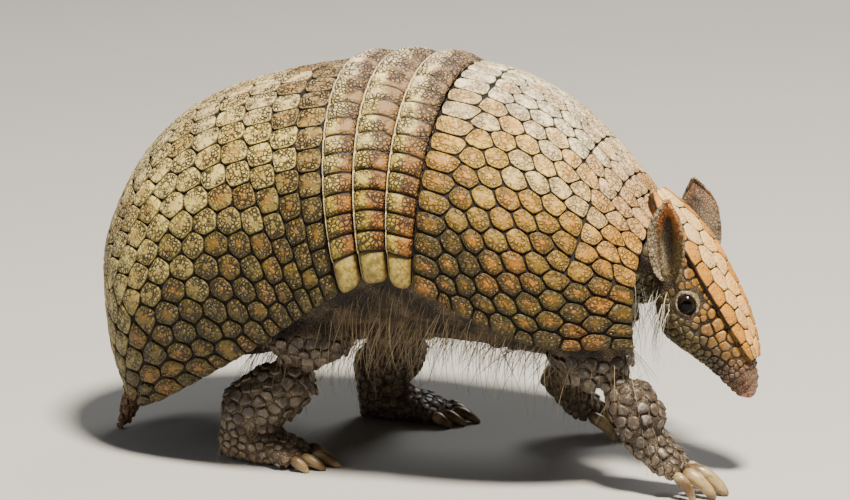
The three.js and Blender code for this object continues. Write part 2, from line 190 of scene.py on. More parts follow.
def carapace(line, t, height=0.0):
    """A point of the carapace: line runs 0 to 1 from tail to nape, and t -1 to 1 from the right rim to the
    left one. The rear edge is notched over the tail."""
    q = line + NOTCH_DEPTH * math.exp(-((t / NOTCH_WIDTH) ** 2)) * min(max(1 - line / NOTCH_LENGTH, 0.0), 1.0)
    back = Vector((back_x(q), 0, back_z(q)))
    up = back - Vector((rim_x(q), 0, rim_z(q)))
    tall = up.length / (1 - math.cos(RIM_ANGLE))
    up.normalize()
    wide = half_width(q) / math.sin(RIM_ANGLE)
    angle = t * RIM_ANGLE
    return (back - up * tall + up * (tall + height) * math.cos(angle)
            + Vector((0, (wide + height) * math.sin(angle), 0)) + ORIGIN)


# The head at distances along its brow line from the crown: its top, its underside and its half width.
PITCH, YAW = math.radians(57), math.radians(-7)
HEAD_BASE = Vector((78.6, 0, 89.4)) + ORIGIN
HEAD_AXIS = Vector((math.cos(PITCH) * math.cos(YAW), math.cos(PITCH) * math.sin(YAW), -math.sin(PITCH)))
HEAD_LEFT = Vector((-math.sin(YAW), math.cos(YAW), 0))
HEAD_UP = HEAD_AXIS.cross(HEAD_LEFT)
HEAD_AT = [0, 12, 22, 32, 41, 48, 55, 61, 67, 71]
head_top = through(HEAD_AT, [-2.2, 0.5, 1.6, 1.5, 1.4, 0.7, -0.8, -2.9, -4.6, -6.4])
head_bottom_at = through(HEAD_AT, [40, 42.5, 45, 48.5, 52, 55.5, 59.5, 64, 68.5, 71])
head_bottom = through(HEAD_AT, [-23.5, -22.2, -20.8, -19, -17.6, -16.4, -15.2, -14, -12.8, -11.6])
head_width = through(HEAD_AT, [12.5, 16.2, 17, 15.6, 13.4, 11, 8.6, 6.6, 5.2, 4.6])
plate_width = through([-1, 3, 11, 26, 37, 46, 53, 57, 60], [5, 8.8, 11.2, 11.8, 11, 9.4, 7.2, 5.8, 3.6])

# The head shield: where it starts and ends, how far it stands off, and how it rises behind the crown.
PLATE_FROM, PLATE_TO, PLATE_CLEARANCE = -1, 60, 0.35
BROW_SQUARENESS = 3.2
CROWN_AT, CROWN_LIFT = 2, 0.35
FLARE_HEIGHT = 20
EYE_AT, EYE_SIDE, EYE_DROP, EYE_RADIUS = 34.2, 12.6, 6.6, 3.7


def on_head(along, left, up):
    """A place on the head: along it from the crown, to its left, and above its brow line."""
    return HEAD_BASE + HEAD_AXIS * along + HEAD_LEFT * left + HEAD_UP * up


def head_plate(u, v, height):
    """A point of the head shield: u from crown to snout, v from its right edge to its left one."""
    along = lerp(PLATE_FROM, PLATE_TO, u)
    left = v * plate_width(along)
    ring = min(max(along, CROWN_AT), HEAD_AT[-1])
    top = on_head(ring, 0, head_top(ring))
    bottom = on_head(head_bottom_at(ring), 0, head_bottom(ring))
    fall = (1 - abs(left / head_width(ring)) ** BROW_SQUARENESS) ** (1 / BROW_SQUARENESS)
    before = min(along - CROWN_AT, 0)
    return ((top + bottom) / 2 + (top - bottom) / 2 * fall + HEAD_AXIS * before
            + HEAD_LEFT * left * (1 + height / FLARE_HEIGHT) + HEAD_UP * (height + CROWN_LIFT * before))


# ---- Making pieces ------------------------------------------------------------------------------

def finish_piece(name, bm, material, slot, nodes=()):
    """Scales a bmesh worked out in millimetres to metres and makes it a piece of the animal."""
    bmesh.ops.scale(bm, vec=(MM, MM, MM), verts=bm.verts)
    mesh = bpy.data.meshes.new(name)
    bm.to_mesh(mesh)
    bm.free()
    mesh.shade_smooth()
    piece = bpy.data.objects.new(name, mesh)
    bpy.context.scene.collection.objects.link(piece)
    mesh.materials.append(material)
    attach(piece, "root")
    if nodes:
        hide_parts(*nodes)
    return piece


# Shares of a mosaic's cell: how near the rim a cut may fall, the least cell that it leaves there, how near
# two corners are made one, and how much of a row an edge crosses that counts as going on into it.
SHORTEST_CUT, END_CELL, MERGE_SHARE, ROW_SHARE = 0.3, 0.72, 0.14, 0.3


def tiles(lines, counts, phases, zigzag, seed, shake=0.05):
    """A flat mosaic over lines by -1 to 1. Each row between two lines is cut into its own count of cells. The
    line between two rows is pulled to and fro so that square cells become six-sided ones, by the share of a
    row that zigzag gives for it. shake moves each corner at random, as a share of a row or cell."""
    rng = random.Random(seed)
    bm = bmesh.new()
    rows = len(counts)
    bmesh.ops.create_grid(bm, x_segments=rows, y_segments=1, size=0.5)
    for v in bm.verts:
        v.co = (lines[round((v.co.x + 0.5) * rows)], math.copysign(1, v.co.y), 0)
    strips = sorted(bm.faces, key=lambda f: f.calc_center_median().x)
    finest = 2 / max(counts)
    for strip, count, phase in zip(strips, counts, phases):
        geometry = [strip] + list(strip.edges) + list(strip.verts)
        width = 2 / count
        for k in range(count + 1):
            t = -1 + (k + phase) * width
            if abs(t) < 1 - SHORTEST_CUT * width:
                t = math.copysign(min(abs(t), 1 - END_CELL * width), t)
                cut = bmesh.ops.bisect_plane(bm, geom=geometry, plane_co=(0, t, 0), plane_no=(0, 1, 0))
                geometry = cut["geom"]
    bmesh.ops.remove_doubles(bm, verts=bm.verts, dist=finest * MERGE_SHARE)
    moves = []
    for v in bm.verts:
        line = min(range(len(lines)), key=lambda i: abs(lines[i] - v.co.x))
        if line in (0, rows) or abs(v.co.y) > 0.999:
            continue
        ahead, behind = lines[line + 1] - lines[line], lines[line] - lines[line - 1]
        pull = 0.0
        for e in v.link_edges:
            step = e.other_vert(v).co.x - v.co.x
            if abs(step) > ROW_SHARE * min(ahead, behind):
                pull += ahead if step > 0 else -behind
        moves.append((v, pull * zigzag[line] + min(ahead, behind) * rng.uniform(-shake, shake),
                      finest * rng.uniform(-shake, shake)))
    for v, along, across in moves:
        v.co.x += along
        v.co.y += across
    return bm


def rim_label(line, t):
    """Where a scute of the carapace is: its line, and how far it is from the back to the rim."""
    return line, abs(t)


def relax(bm, verts, times, factor=0.5):
    """Draws vertices towards the middle of their neighbours."""
    for _ in range(times):
        bmesh.ops.smooth_vert(bm, verts=verts, factor=factor, use_axis_x=True, use_axis_y=True,
                              use_axis_z=True)


def island_of(vertex):
    """All the vertices that are joined to one by edges, with itself."""
    island, edge = {vertex}, [vertex]
    while edge:
        v = edge.pop()
        for e in v.link_edges:
            other = e.other_vert(v)
            if other not in island:
                island.add(other)
                edge.append(other)
    return island


# Past RIM_AT a corner of the mosaic is on the rim. The others are how far a scute's corners are out of place
# and how high its middle is raised, in millimetres.
RIM_AT, SCUTE_SHAKE, SCUTE_CROWN = 0.985, 0.1, 0.05


def raise_scutes(bm, place, feet, groove, shapes, seed, rounding, label=rim_label, all_round=False):
    """Turns each cell of a flat mosaic into a scute that stands on its own: rounded corners, a steep side and
    a low crown. feet are the heights of its foot inside the shield and at the rim, which runs all round the
    head shield. groove gives the width between scutes at a place. Each of the shapes is a stretch from the
    back to the rim, with insets from edge to crown: how far in, how far up, and the edge value there. Each
    vertex keeps where its scute is and its luck (home), and where it lies within it (spot): ahead of the
    middle, to its left, and 1 at the edge to 0 at the crown."""
    foot, rim_foot = feet
    rng = random.Random(seed)
    home = bm.verts.layers.float_vector.new("home")
    spot = bm.verts.layers.float_vector.new("spot")
    bmesh.ops.bisect_edges(bm, edges=bm.edges, cuts=2)
    cells = {f: tuple(f.calc_center_median().xy) for f in bm.faces}
    for v in bm.verts:
        v[home] = v.co
        v.co = place(v.co.x, v.co.y, foot)
    bm.normal_update()
    for f, where in cells.items():
        ring = bmesh.ops.inset_individual(bm, faces=[f], thickness=groove(*where) / 2, use_even_offset=False)
        bmesh.ops.delete(bm, geom=ring["faces"], context="FACES")
    relax(bm, bm.verts, 1, rounding)
    for v in bm.verts:
        v.co += Vector([rng.uniform(-SCUTE_SHAKE, SCUTE_SHAKE) for _ in range(3)])
    for (inner, outer), steps in shapes:
        group = [f for f, where in cells.items() if inner <= abs(where[1]) < outer]
        outline = {v for f in group for v in f.verts}
        for v in outline:
            v[spot] = (0, 0, 1)
        for inset, depth, level in steps:
            bmesh.ops.inset_individual(bm, faces=group, thickness=inset, depth=depth, use_even_offset=False)
            for v in {v for f in group for v in f.verts}:
                v[spot] = (0, 0, level)
        for v in outline:
            if abs(v[home].y) > RIM_AT or all_round and abs(v[home].x) > RIM_AT:
                v.co = place(v[home].x, v[home].y, rim_foot)
    for f, (line, t) in cells.items():
        luck = rng.random()
        centre = f.calc_center_median()
        here = place(line, t, 0)
        along = (place(line + 0.004, t, 0) - here).normalized()
        across = (place(line, t + 0.01, 0) - here).normalized()
        crown = bmesh.ops.poke(bm, faces=[f], offset=SCUTE_CROWN)["verts"][0]
        crown[spot] = (0, 0, 0)
        island = island_of(crown)
        reach = max((v.co - centre).length for v in island)
        for v in island:
            offset = (v.co - centre) / reach
            v[spot] = (offset.dot(along), offset.dot(across), v[spot].z)
            v[home] = label(line, t) + (luck,)
    bmesh.ops.holes_fill(bm, edges=[e for e in bm.edges if e.is_boundary], sides=0)
    bmesh.ops.recalc_face_normals(bm, faces=bm.faces)
    return bm


def bed(place, low, high, from_line, to_line, along, across):
    """A thin closed slab under a mosaic, from one height to another, in steps along and across."""
    bm = bmesh.new()
    bmesh.ops.create_grid(bm, x_segments=along, y_segments=across, size=1)
    for v in bm.verts:
        v.co = place(lerp(from_line, to_line, (v.co.x + 1) / 2), v.co.y * RIM_AT, high)
    bm.normal_update()
    bmesh.ops.solidify(bm, geom=bm.faces, thickness=high - low)
    bmesh.ops.recalc_face_normals(bm, faces=bm.faces)
    return bm


def add_mosaic(name, bm, material, slot, node_name, base, base_material):
    """Makes pieces of the scutes of one shield and of the bed that they stand on."""
    finish_piece(name + "_scutes", bm, material, slot, [node_name])
    finish_piece(name + "_bed", base, base_material, slot, [node_name])


# ---- The carapace -------------------------------------------------------------------------------

# How deep the grooves are, the heights of a scute's foot at the rim and of the bed's top, the bed's steps
# from rim to rim, and how far down the side the rows are measured.
GROOVE_DEPTH, RIM_FOOT, BED_TOP, BED_ACROSS, SPACED_AT = 1.5, -SHELL + 0.2, -1.05, 60, 0.35


def shield_rows(from_line, to_line, count):
    """The lines between rows of scutes that are equally long a little to the side of the back."""
    steps = 120
    marks = [lerp(from_line, to_line, i / steps) for i in range(steps + 1)]
    far = [0.0]
    for a, b in zip(marks, marks[1:]):
        far.append(far[-1] + (carapace(b, SPACED_AT) - carapace(a, SPACED_AT)).length)
    at = through(far, marks)
    return [at(far[-1] * i / count) for i in range(count + 1)]


def girth(line):
    """The length of the carapace from rim to rim along a line."""
    points = [carapace(line, i / 20 - 1) for i in range(41)]
    return sum((b - a).length for a, b in zip(points, points[1:]))


def large_shield(name, ends, lines, counts, zigzag, groove, shapes, seed, rounding, bed_along, horn, dark):
    """One of the two great shields: its scutes, each row half a scute off the next, and their bed."""
    phases = [0.5 * (i % 2) for i in range(len(counts))]
    bm = tiles(lines, counts, phases, zigzag, seed)
    raise_scutes(bm, carapace, (-GROOVE_DEPTH, RIM_FOOT), groove, shapes, seed + 1, rounding)
    slab = bed(carapace, RIM_FOOT, BED_TOP, *ends, bed_along, BED_ACROSS)
    add_mosaic(name, bm, horn, "carapace", name + "_shield", slab, dark)


def pelvic_shield(horn, dark):
    """The rear shield: square scutes by the bands, six-sided ones on the rump, domed towards the rim."""
    ends, rows, pitch = (0.0, BAND_EDGES[0] - BAND_GAP), 15, 8.3
    lines = shield_rows(*ends, rows)
    counts = [round(girth((a + b) / 2) / pitch) for a, b in zip(lines, lines[1:])]
    zigzag = [lerp(0.16, 0.03, ease(0.45, 0.95, i / rows)) for i in range(rows + 1)]
    shapes = [((0.0, 0.6), [(0.1, 1.15, 0.96), (0.26, 0.22, 0.88), (1.0, 0.12, 0.6)]),
              ((0.6, 2.0), [(0.13, 1.0, 0.96), (0.38, 0.36, 0.85), (1.0, 0.18, 0.55)])]

    def groove(_, t):
        return lerp(0.16, 0.4, ease(0.5, 0.95, abs(t)))

    large_shield("pelvic", ends, lines, counts, zigzag, groove, shapes, PELVIC_SEED, 0.5, 40, horn, dark)


def scapular_shield(horn, dark):
    """The front shield: a long first row by the bands, then nine rows that grow smaller towards the neck."""
    ends, first_end, rows, pitches = (BAND_EDGES[3] + BAND_GAP, 1.0), 0.765, 9, (7.2, 6.2)
    lines = [ends[0]] + shield_rows(first_end, ends[1], rows)
    counts = [28] + [round(girth((a + b) / 2) / lerp(*pitches, i / (rows - 1)))
                     for i, (a, b) in enumerate(zip(lines[1:], lines[2:]))]
    zigzag = [0.0, 0.14] + [0.19] * rows
    shapes = [((0.0, 0.45), [(0.1, 1.15, 0.96), (0.24, 0.22, 0.88), (0.9, 0.12, 0.58)]),
              ((0.45, 2.0), [(0.12, 1.05, 0.96), (0.36, 0.36, 0.84), (0.8, 0.18, 0.55)])]

    def groove(_, t):
        return lerp(0.14, 0.34, ease(0.35, 0.85, abs(t)))

    large_shield("scapular", ends, lines, counts, zigzag, groove, shapes, SCAPULAR_SEED, 0.45, 30, horn, dark)


# ---- Materials ----------------------------------------------------------------------------------

# The nodes in use: type, settings, the inputs that a call gives in order, and the output that goes on.
# STEP takes a value, the two values that it rises between, and the two results where they aren't 0 and 1.
# OVER takes a share, what lies below and what lies over it by that share.
PLACE = ("ShaderNodeTexCoord", {}, (), "Object")
TINT = ("ShaderNodeAttribute", {"attribute_name": "tint"}, (), "Color")
HOME = ("ShaderNodeAttribute", {"attribute_name": "home"}, (), "Vector")
SPOT = ("ShaderNodeAttribute", {"attribute_name": "spot"}, (), "Vector")
IRIS = ("ShaderNodeAttribute", {"attribute_name": "iris"}, (), "Fac")
X, Y, Z = [("ShaderNodeSeparateXYZ", {}, (0,), axis) for axis in "XYZ"]
PLUS, MINUS, TIMES, ANGLE, SINE, SIZE = [
    ("ShaderNodeMath", {"operation": name}, (0, 1), 0)
    for name in ("ADD", "SUBTRACT", "MULTIPLY", "ARCTAN2", "SINE", "ABSOLUTE")]
STEP = ("ShaderNodeMapRange", {"interpolation_type": "SMOOTHSTEP"}, (0, 1, 2, 3, 4), 0)
OVER = ("ShaderNodeMix", {"data_type": "RGBA"}, (0, 6, 7), 2)
CLOUDS = ("ShaderNodeTexNoise", {}, ("Vector", "Scale", "Detail", "Roughness"), 0)
CELLS = ("ShaderNodeTexVoronoi", {"feature": "F1"}, ("Vector", "Scale"), "Distance")
CELL_EDGES = ("ShaderNodeTexVoronoi", {"feature": "DISTANCE_TO_EDGE"}, ("Vector", "Scale"), "Distance")
STRETCH = ("ShaderNodeMapping", {}, ("Vector", "Scale"), 0)
BRIGHTEN = ("ShaderNodeHueSaturation", {}, ("Color", "Value"), 0)
RELIEF = ("ShaderNodeBump", {}, ("Height", "Distance"), 0)


def add(tree, recipe, *inputs):
    """Adds one node: an input that comes from another node is linked, and a plain one is set."""
    kind, settings, ports, output = recipe
    made = tree.nodes.new(kind)
    for name, value in settings.items():
        setattr(made, name, value)
    for port, value in zip(ports, inputs):
        if isinstance(value, bpy.types.NodeSocket):
            tree.links.new(value, made.inputs[port])
        else:
            made.inputs[port].default_value = value
    return made.outputs[output]


def per(size):
    """How often a pattern of a size in millimetres comes in a metre."""
    return 1 / (size * MM)


def new_material(name, **values):
    """A material with one principled shader, and the way to add nodes to it."""
    material = bpy.data.materials.new(name)
    material.use_nodes = True
    shader = material.node_tree.nodes["Principled BSDF"]
    for key, value in values.items():
        shader.inputs[key.replace("_", " ")].default_value = value
    return material, functools.partial(add, material.node_tree)


def dress(material, colour, relief):
    """Gives a material its colour and its small relief."""
    shader = material.node_tree.nodes["Principled BSDF"]
    material.node_tree.links.new(colour, shader.inputs["Base Color"])
    material.node_tree.links.new(relief, shader.inputs["Normal"])
    return material


# Sizes in millimetres, and the colours that all the horn of the shell shares: painted shade in the pits and
# along the scute edges, and pale tubercle tops from wear and painted highlight, brighter on the back than on
# the sides.
TUBERCLE, HORN_GRAIN = 1.3, 1.8
PIT_SHADE, EDGE_SHADE, WEAR_AND_HIGHLIGHT_BACK, WEAR_AND_HIGHLIGHT_SIDE = "#1C0E03", "#231205", "#FFF1CE", "#C79E4A"


def graded_horn(put, back, side, rim, stretches=()):
    """The colour of each scute and of its pale tubercle tops by its height on the shell, with a little luck
    of its own (sway). It is paler on the back and darker towards the rim: partly the horn's own tone, partly
    painted light and shade; the tubercle tops carry wear and painted highlight. Each of the stretches is a
    colour, the lines of the shield where it starts and where it is full, and how strongly it shows."""
    sway = put(TIMES, put(MINUS, put(Z, put(HOME)), 0.5), 0.2)
    level = put(PLUS, put(Y, put(HOME)), sway)
    line = put(PLUS, put(X, put(HOME)), put(TIMES, sway, 0.2))
    colour = put(OVER, put(STEP, level, 0.05, 0.55), linear(back), linear(side))
    for tone, low, high, part in stretches:
        colour = put(OVER, put(STEP, line, low, high, 0.0, part), colour, linear(tone))
    # Darker lower on the shell, towards the rim colour: partly the horn's own tone, partly painted shade. The
    # pale tubercle tops turn from the back colour to the side one here too: painted highlight, brighter on
    # the back.
    low = put(STEP, level, 0.42, 0.78)
    return put(OVER, low, colour, linear(rim)), put(OVER, low, linear(WEAR_AND_HIGHLIGHT_BACK), linear(WEAR_AND_HIGHLIGHT_SIDE)), sway


def tubercles(put, share):
    """The face of horn: pale tubercles about a millimetre across (crest), the dark pits round them (pit), and
    its grain. share is how strongly the pits show."""
    grain = put(CLOUDS, put(PLACE), per(HORN_GRAIN), 4.0, 0.75)
    pit = put(STEP, put(CELL_EDGES, put(PLACE), per(TUBERCLE)), 0.22, 0.04)
    patchy = put(STEP, put(CLOUDS, put(PLACE), per(6), 2.0, 0.5), 0.32, 0.55)
    pit = put(TIMES, pit, put(TIMES, patchy, share))
    crest = put(STEP, put(CELLS, put(PLACE), per(TUBERCLE)), 0.42, 0.12)
    return put(TIMES, crest, put(STEP, grain, 0.38, 0.62)), pit, grain


def horn_scutes(name, back, side, rim, heart, share, stretches):
    """Horn-covered bone, grown in plates: matt, each scute a rosette of small tubercles round a warmer heart,
    paler on the back from wear and painted highlight, with painted shade in the pits, in the radial furrows
    and along the edges."""
    material, put = new_material(name, Roughness=0.5, IOR=1.45)
    colour, wear_and_highlight, sway = graded_horn(put, back, side, rim, stretches)
    spot = put(SPOT)
    ahead, left, edge = put(X, spot), put(Y, spot), put(Z, spot)
    crest, pit, grain = tubercles(put, share)
    patch = put(PLUS, put(CLOUDS, put(PLACE), per(18), 3.0, 0.5), sway)
    colour = put(OVER, put(STEP, patch, 0.5, 0.7, 0.0, 0.4), colour, linear(heart))
    core = put(TIMES, put(STEP, edge, 0.62, 0.2), put(STEP, put(PLUS, grain, sway), 0.4, 0.6))
    colour = put(OVER, put(TIMES, core, 0.75), colour, linear(heart))
    pit = put(TIMES, pit, put(TIMES, put(STEP, edge, 0.12, 0.3), put(STEP, edge, 0.97, 0.8)))
    turn = put(PLUS, put(TIMES, put(ANGLE, left, ahead), 3.5), put(TIMES, grain, 2.2))
    petal = put(SIZE, put(SINE, put(PLUS, turn, put(TIMES, sway, 30.0))))
    valley = put(TIMES, put(STEP, edge, 0.45, 0.62), put(STEP, edge, 1.0, 0.85))
    valley = put(TIMES, put(STEP, petal, 0.36, 0.05), put(TIMES, valley, share))
    # Pale tubercle tops: wear and painted highlight.
    colour = put(OVER, put(TIMES, crest, 0.65), colour, wear_and_highlight)
    # Dark pits between the tubercles: painted shade.
    colour = put(OVER, put(TIMES, pit, 0.92), colour, linear(PIT_SHADE))
    # Dark radial furrows of the rosette: painted shade.
    colour = put(OVER, put(TIMES, valley, 0.65), colour, linear("#2C1706"))
    # Dark along the scute's edge, where it drops into the groove: painted shade.
    colour = put(OVER, put(STEP, edge, 0.88, 1.0, 0.0, 0.95), colour, linear(EDGE_SHADE))
    colour = put(BRIGHTEN, colour, put(PLUS, 0.98, put(TIMES, sway, 1.8)))
    height = put(MINUS, put(PLUS, put(TIMES, grain, 0.4), crest), put(PLUS, pit, put(TIMES, valley, 0.8)))
    return dress(material, colour, put(RELIEF, height, 0.5 * MM))


def band_horn():
    """Horn of the movable bands: each scute pale behind, from its own tone, wear and painted highlight, brown
    and rough in front, with a thin pale lip along its rear edge. The scutes at both ends of a band are smooth
    and waxy. Painted shade darkens the pits, the grooves between scutes, the seam in front of the lip and the
    sunken edges."""
    material, put = new_material("band_horn", Roughness=0.55, IOR=1.45)
    colour, wear_and_highlight, sway = graded_horn(put, "#F6DFB2", "#E0C874", "#AA9232")
    spot = put(SPOT)
    ahead, edge = put(X, spot), put(Z, spot)
    crest, pit, grain = tubercles(put, 1.0)
    ragged = put(PLUS, put(PLUS, ahead, put(TIMES, sway, 2.0)), put(TIMES, put(MINUS, grain, 0.5), 1.2))
    brown = put(OVER, put(STEP, put(Y, put(HOME)), 0.3, 0.8), linear("#6A4526"), linear("#8A4F16"))
    colour = put(OVER, put(STEP, ragged, -0.15, 0.35, 0.0, 0.85), colour, brown)
    lip = put(STEP, ahead, -0.84, -0.9)
    seam = put(TIMES, put(STEP, ahead, -0.74, -0.8), put(STEP, ahead, -0.88, -0.82))
    end = put(STEP, put(Y, put(HOME)), *END_STARTS)
    waxy = put(OVER, put(STEP, grain, 0.35, 0.65), linear("#6E5C20"), linear("#BCA658"))
    waxy = put(OVER, put(STEP, edge, 0.25, 0.95, 0.0, 0.7), waxy, linear("#4A3A10"))
    colour = put(OVER, put(TIMES, end, 0.9), colour, waxy)
    plain = put(TIMES, put(MINUS, 1.0, lip), put(MINUS, 1.0, end))
    pit = put(TIMES, pit, put(TIMES, plain, put(STEP, edge, 0.97, 0.8)))
    crest = put(TIMES, crest, put(TIMES, plain, put(STEP, ahead, 0.6, -0.1, 0.4, 1.0)))
    # Pale tubercle tops: wear and painted highlight.
    colour = put(OVER, put(TIMES, crest, 0.6), colour, wear_and_highlight)
    # Dark pits between the tubercles: painted shade.
    colour = put(OVER, put(TIMES, pit, 0.92), colour, linear(PIT_SHADE))
    # Dark seam in front of the lip: painted shade.
    colour = put(OVER, put(TIMES, seam, 0.85), colour, linear(EDGE_SHADE))
    colour = put(OVER, put(TIMES, lip, 0.8), colour, linear("#DDC9A6"))
    # Near black in the grooves between scutes and along the sunken edges: painted shade.
    colour = put(OVER, put(STEP, edge, 0.8, 0.92, 0.0, 0.97), colour, linear("#180B03"))
    colour = put(BRIGHTEN, colour, put(PLUS, 0.98, put(TIMES, sway, 1.4)))
    height = put(MINUS, put(PLUS, put(TIMES, grain, 0.4), crest), pit)
    return dress(material, colour, put(RELIEF, height, 0.5 * MM))


def groove_horn():
    """The dark, matt horn between the scutes, painted near black: partly the dark horn, partly painted shade
    in the grooves.
    """
    material, put = new_material("groove_horn", Roughness=0.85, IOR=1.5)
    cloud = put(CLOUDS, put(PLACE), per(4), 4.0, 0.5)
    # Near black: partly the horn's own colour, partly painted shade in the grooves.
    colour = put(OVER, put(STEP, cloud, 0.35, 0.7), linear("#090503"), linear("#1C1008"))
    return dress(material, colour, put(RELIEF, put(CLOUDS, put(PLACE), per(1.6), 3.0, 0.5), 0.2 * MM))


def leathery_skin():
    """Bare hide: matt and wrinkled, finely pebbled, with painted shade in the cracks between the pebbles."""
    material, put = new_material("leathery_skin", Roughness=0.6, IOR=1.45)
    crack = put(STEP, put(CELL_EDGES, put(PLACE), per(0.9)), 0.16, 0.02)
    cloud = put(CLOUDS, put(PLACE), per(10), 4.0, 0.6)
    colour = put(OVER, put(STEP, cloud, 0.42, 0.7, 0.0, 0.25), put(TINT), linear("#C8AC84"))
    colour = put(OVER, put(STEP, cloud, 0.52, 0.3, 0.0, 0.55), colour, linear("#170E07"))
    # Dark cracks between the pebbles: painted shade.
    colour = put(OVER, put(TIMES, crack, 0.6), colour, linear("#150C07"))
    wrinkle = put(CLOUDS, put(PLACE), per(2.6), 5.0, 0.6)
    height = put(MINUS, wrinkle, put(TIMES, crack, 0.6))
    return dress(material, colour, put(RELIEF, height, 0.35 * MM))


def scale_horn():
    """Small horny scales: a little glossier than the skin, with painted highlight where the grain stands up
    and painted shade in its hollows.
    """
    material, put = new_material("scale_horn", Roughness=0.42, IOR=1.55)
    grain = put(CLOUDS, put(PLACE), per(1.4), 3.0, 0.7)
    # Pale where the grain stands up: painted highlight.
    colour = put(OVER, put(STEP, grain, 0.5, 0.75, 0.0, 0.25), put(TINT), linear("#EBD9B4"))
    # Dark in the hollows of the grain: painted shade.
    colour = put(OVER, put(STEP, grain, 0.5, 0.3, 0.0, 0.6), colour, linear("#1E1208"))
    return dress(material, colour, put(RELIEF, grain, 0.2 * MM))


def coarse_hair():
    """Stiff, coarse hair: a little glossy, its colour uneven. Each hair is drawn about twice as thick as a
    real one, so that it shows at all."""
    material, put = new_material("coarse_hair", Roughness=0.38, IOR=1.55)
    cloud = put(CLOUDS, put(PLACE), per(8), 2.0, 0.5)
    colour = put(OVER, put(STEP, cloud, 0.3, 0.7, 0.0, 0.4), put(TINT), linear("#3A2C1C"))
    return dress(material, colour, put(RELIEF, cloud, 0.05 * MM))


# How many ridges come in a millimetre along, across and up a claw, as cells in a metre.
CLAW_RIDGES = [cells / MM for cells in (0.18, 1.5, 0.7)]


def claw_horn():
    """Claws: thick smooth horn with a low gloss, stained with earth, grown in ridges along its length. They
    are drawn 0.7 to 1.4 mm apart, about three times as far as real ones, so that they show."""
    material, put = new_material("claw_horn", Roughness=0.33, IOR=1.55)
    stain = put(STEP, put(CLOUDS, put(PLACE), per(8), 3.0, 0.5), 0.35, 0.65)
    colour = put(OVER, stain, linear("#5E452A"), linear("#B39A6C"))
    ridges = put(CLOUDS, put(STRETCH, put(PLACE), CLAW_RIDGES), 1.0, 2.0, 0.5)
    colour = put(OVER, put(STEP, ridges, 0.5, 0.75, 0.0, 0.5), colour, linear("#3D2A16"))
    return dress(material, colour, put(RELIEF, ridges, 0.15 * MM))


def wet_eye():
    """The eye: a black pupil in a dark brown iris, mirror-smooth, as if under a wet, clear cornea."""
    material, put = new_material("wet_eye", Roughness=0.05, IOR=1.376, Specular_IOR_Level=0.22)
    away = put(IRIS)
    ring = put(TIMES, put(STEP, away, 0.36, 0.5), put(STEP, away, 1.05, 0.85))
    fibre = put(STEP, put(CLOUDS, put(PLACE), per(1.0), 3.0, 0.5), 0.3, 0.7, 0.45, 1.0)
    colour = put(OVER, put(TIMES, ring, fibre), linear("#040302"), linear("#261E17"))
    return dress(material, colour, put(RELIEF, fibre, 0.01 * MM))


# ---- The bands ----------------------------------------------------------------------------------

# Scutes in a band, how much wider the end ones are, where those start on the way to the rim, the faces along
# a band and across each scute, how far these crowd towards the edges, and the seam of the thin rear lip.
BAND_SCUTES, END_SCUTE, END_STARTS = 28, 1.7, (0.883, 0.886)
BAND_ALONG, BAND_STEPS = 16, 8
CROWDED_ALONG, CROWDED_ACROSS = 0.07, 0.09
LIP, LIP_SEAM, LIP_SEAM_WIDTH, LIP_SEAM_DEPTH = 0.09, 0.1, 0.04, 0.5


def band_height(f):
    """How far a band stands out, from its rear edge (0) to its front edge (1)."""
    return BAND_BULGE * math.sin(math.pi * (0.2 + 0.8 * f))


def band_scutes(number, material):
    """One movable band: a row of scutes with grooves between them, a thin lip along the rear edge, and a
    larger rounded scute at each end. Its vertices crowd towards its edges and its grooves."""
    start, end = BAND_EDGES[number - 1] + BAND_GAP, BAND_EDGES[number] - BAND_GAP
    rng = random.Random(BAND_SEED + number)
    lucks = [rng.random() for _ in range(BAND_SCUTES)]
    width = 2 / (BAND_SCUTES - 2 + 2 * END_SCUTE)
    marks = [-1.0] + [-1 + width * (END_SCUTE + i) for i in range(BAND_SCUTES - 1)] + [1.0]
    bm = bmesh.new()
    home = bm.verts.layers.float_vector.new("home")
    spot = bm.verts.layers.float_vector.new("spot")
    bmesh.ops.create_grid(bm, x_segments=BAND_ALONG, y_segments=BAND_SCUTES * BAND_STEPS, size=1)
    outer = list(bm.faces)
    for v in bm.verts:
        f = (v.co.x + 1) / 2
        f -= CROWDED_ALONG * math.sin(math.tau * f)
        cell = (v.co.y + 1) / 2 * BAND_SCUTES
        own = min(int(cell + 1e-6), BAND_SCUTES - 1)
        within = cell - own
        within -= CROWDED_ACROSS * math.sin(math.tau * within)
        t = lerp(marks[own], marks[own + 1], within)
        side, stretch = abs(within * 2 - 1), abs(f * 2 - 1)
        if own in (0, BAND_SCUTES - 1):
            free = within if own else 1 - within
            t = math.copysign(abs(t) - 0.45 * width * free * stretch ** 4, t)
            depth = 0.2 + 1.3 * (1 - (1 - stretch ** 5) * (1 - side ** 4))
            edge = max(side, stretch) ** 2
        else:
            seam = LIP_SEAM_DEPTH * math.exp(-(((f - LIP_SEAM) / LIP_SEAM_WIDTH) ** 2))
            depth = (GROOVE_DEPTH * ease(0.74, 0.98, side) * ease(0.0, LIP, f) + seam
                     + 0.9 * ease(0.05, 0, f) ** 2 + ease(0.93, 1, f) ** 2 + 0.25 * stretch ** 4)
            edge = max(side * ease(0.03, LIP, f), 0.9 * ease(0.92, 1.0, f))
        v[home] = (lerp(start, end, f), abs(t), lucks[own])
        v[spot] = (f * 2 - 1, within * 2 - 1, edge)
        v.co = carapace(lerp(start, end, f), t, band_height(f) - max(depth, 0.02))
    bm.normal_update()
    bmesh.ops.solidify(bm, geom=outer, thickness=SHELL * 0.8)
    bmesh.ops.recalc_face_normals(bm, faces=bm.faces)
    finish_piece(f"band_{number}_scutes", bm, material, "bands", [f"band_{number}"])


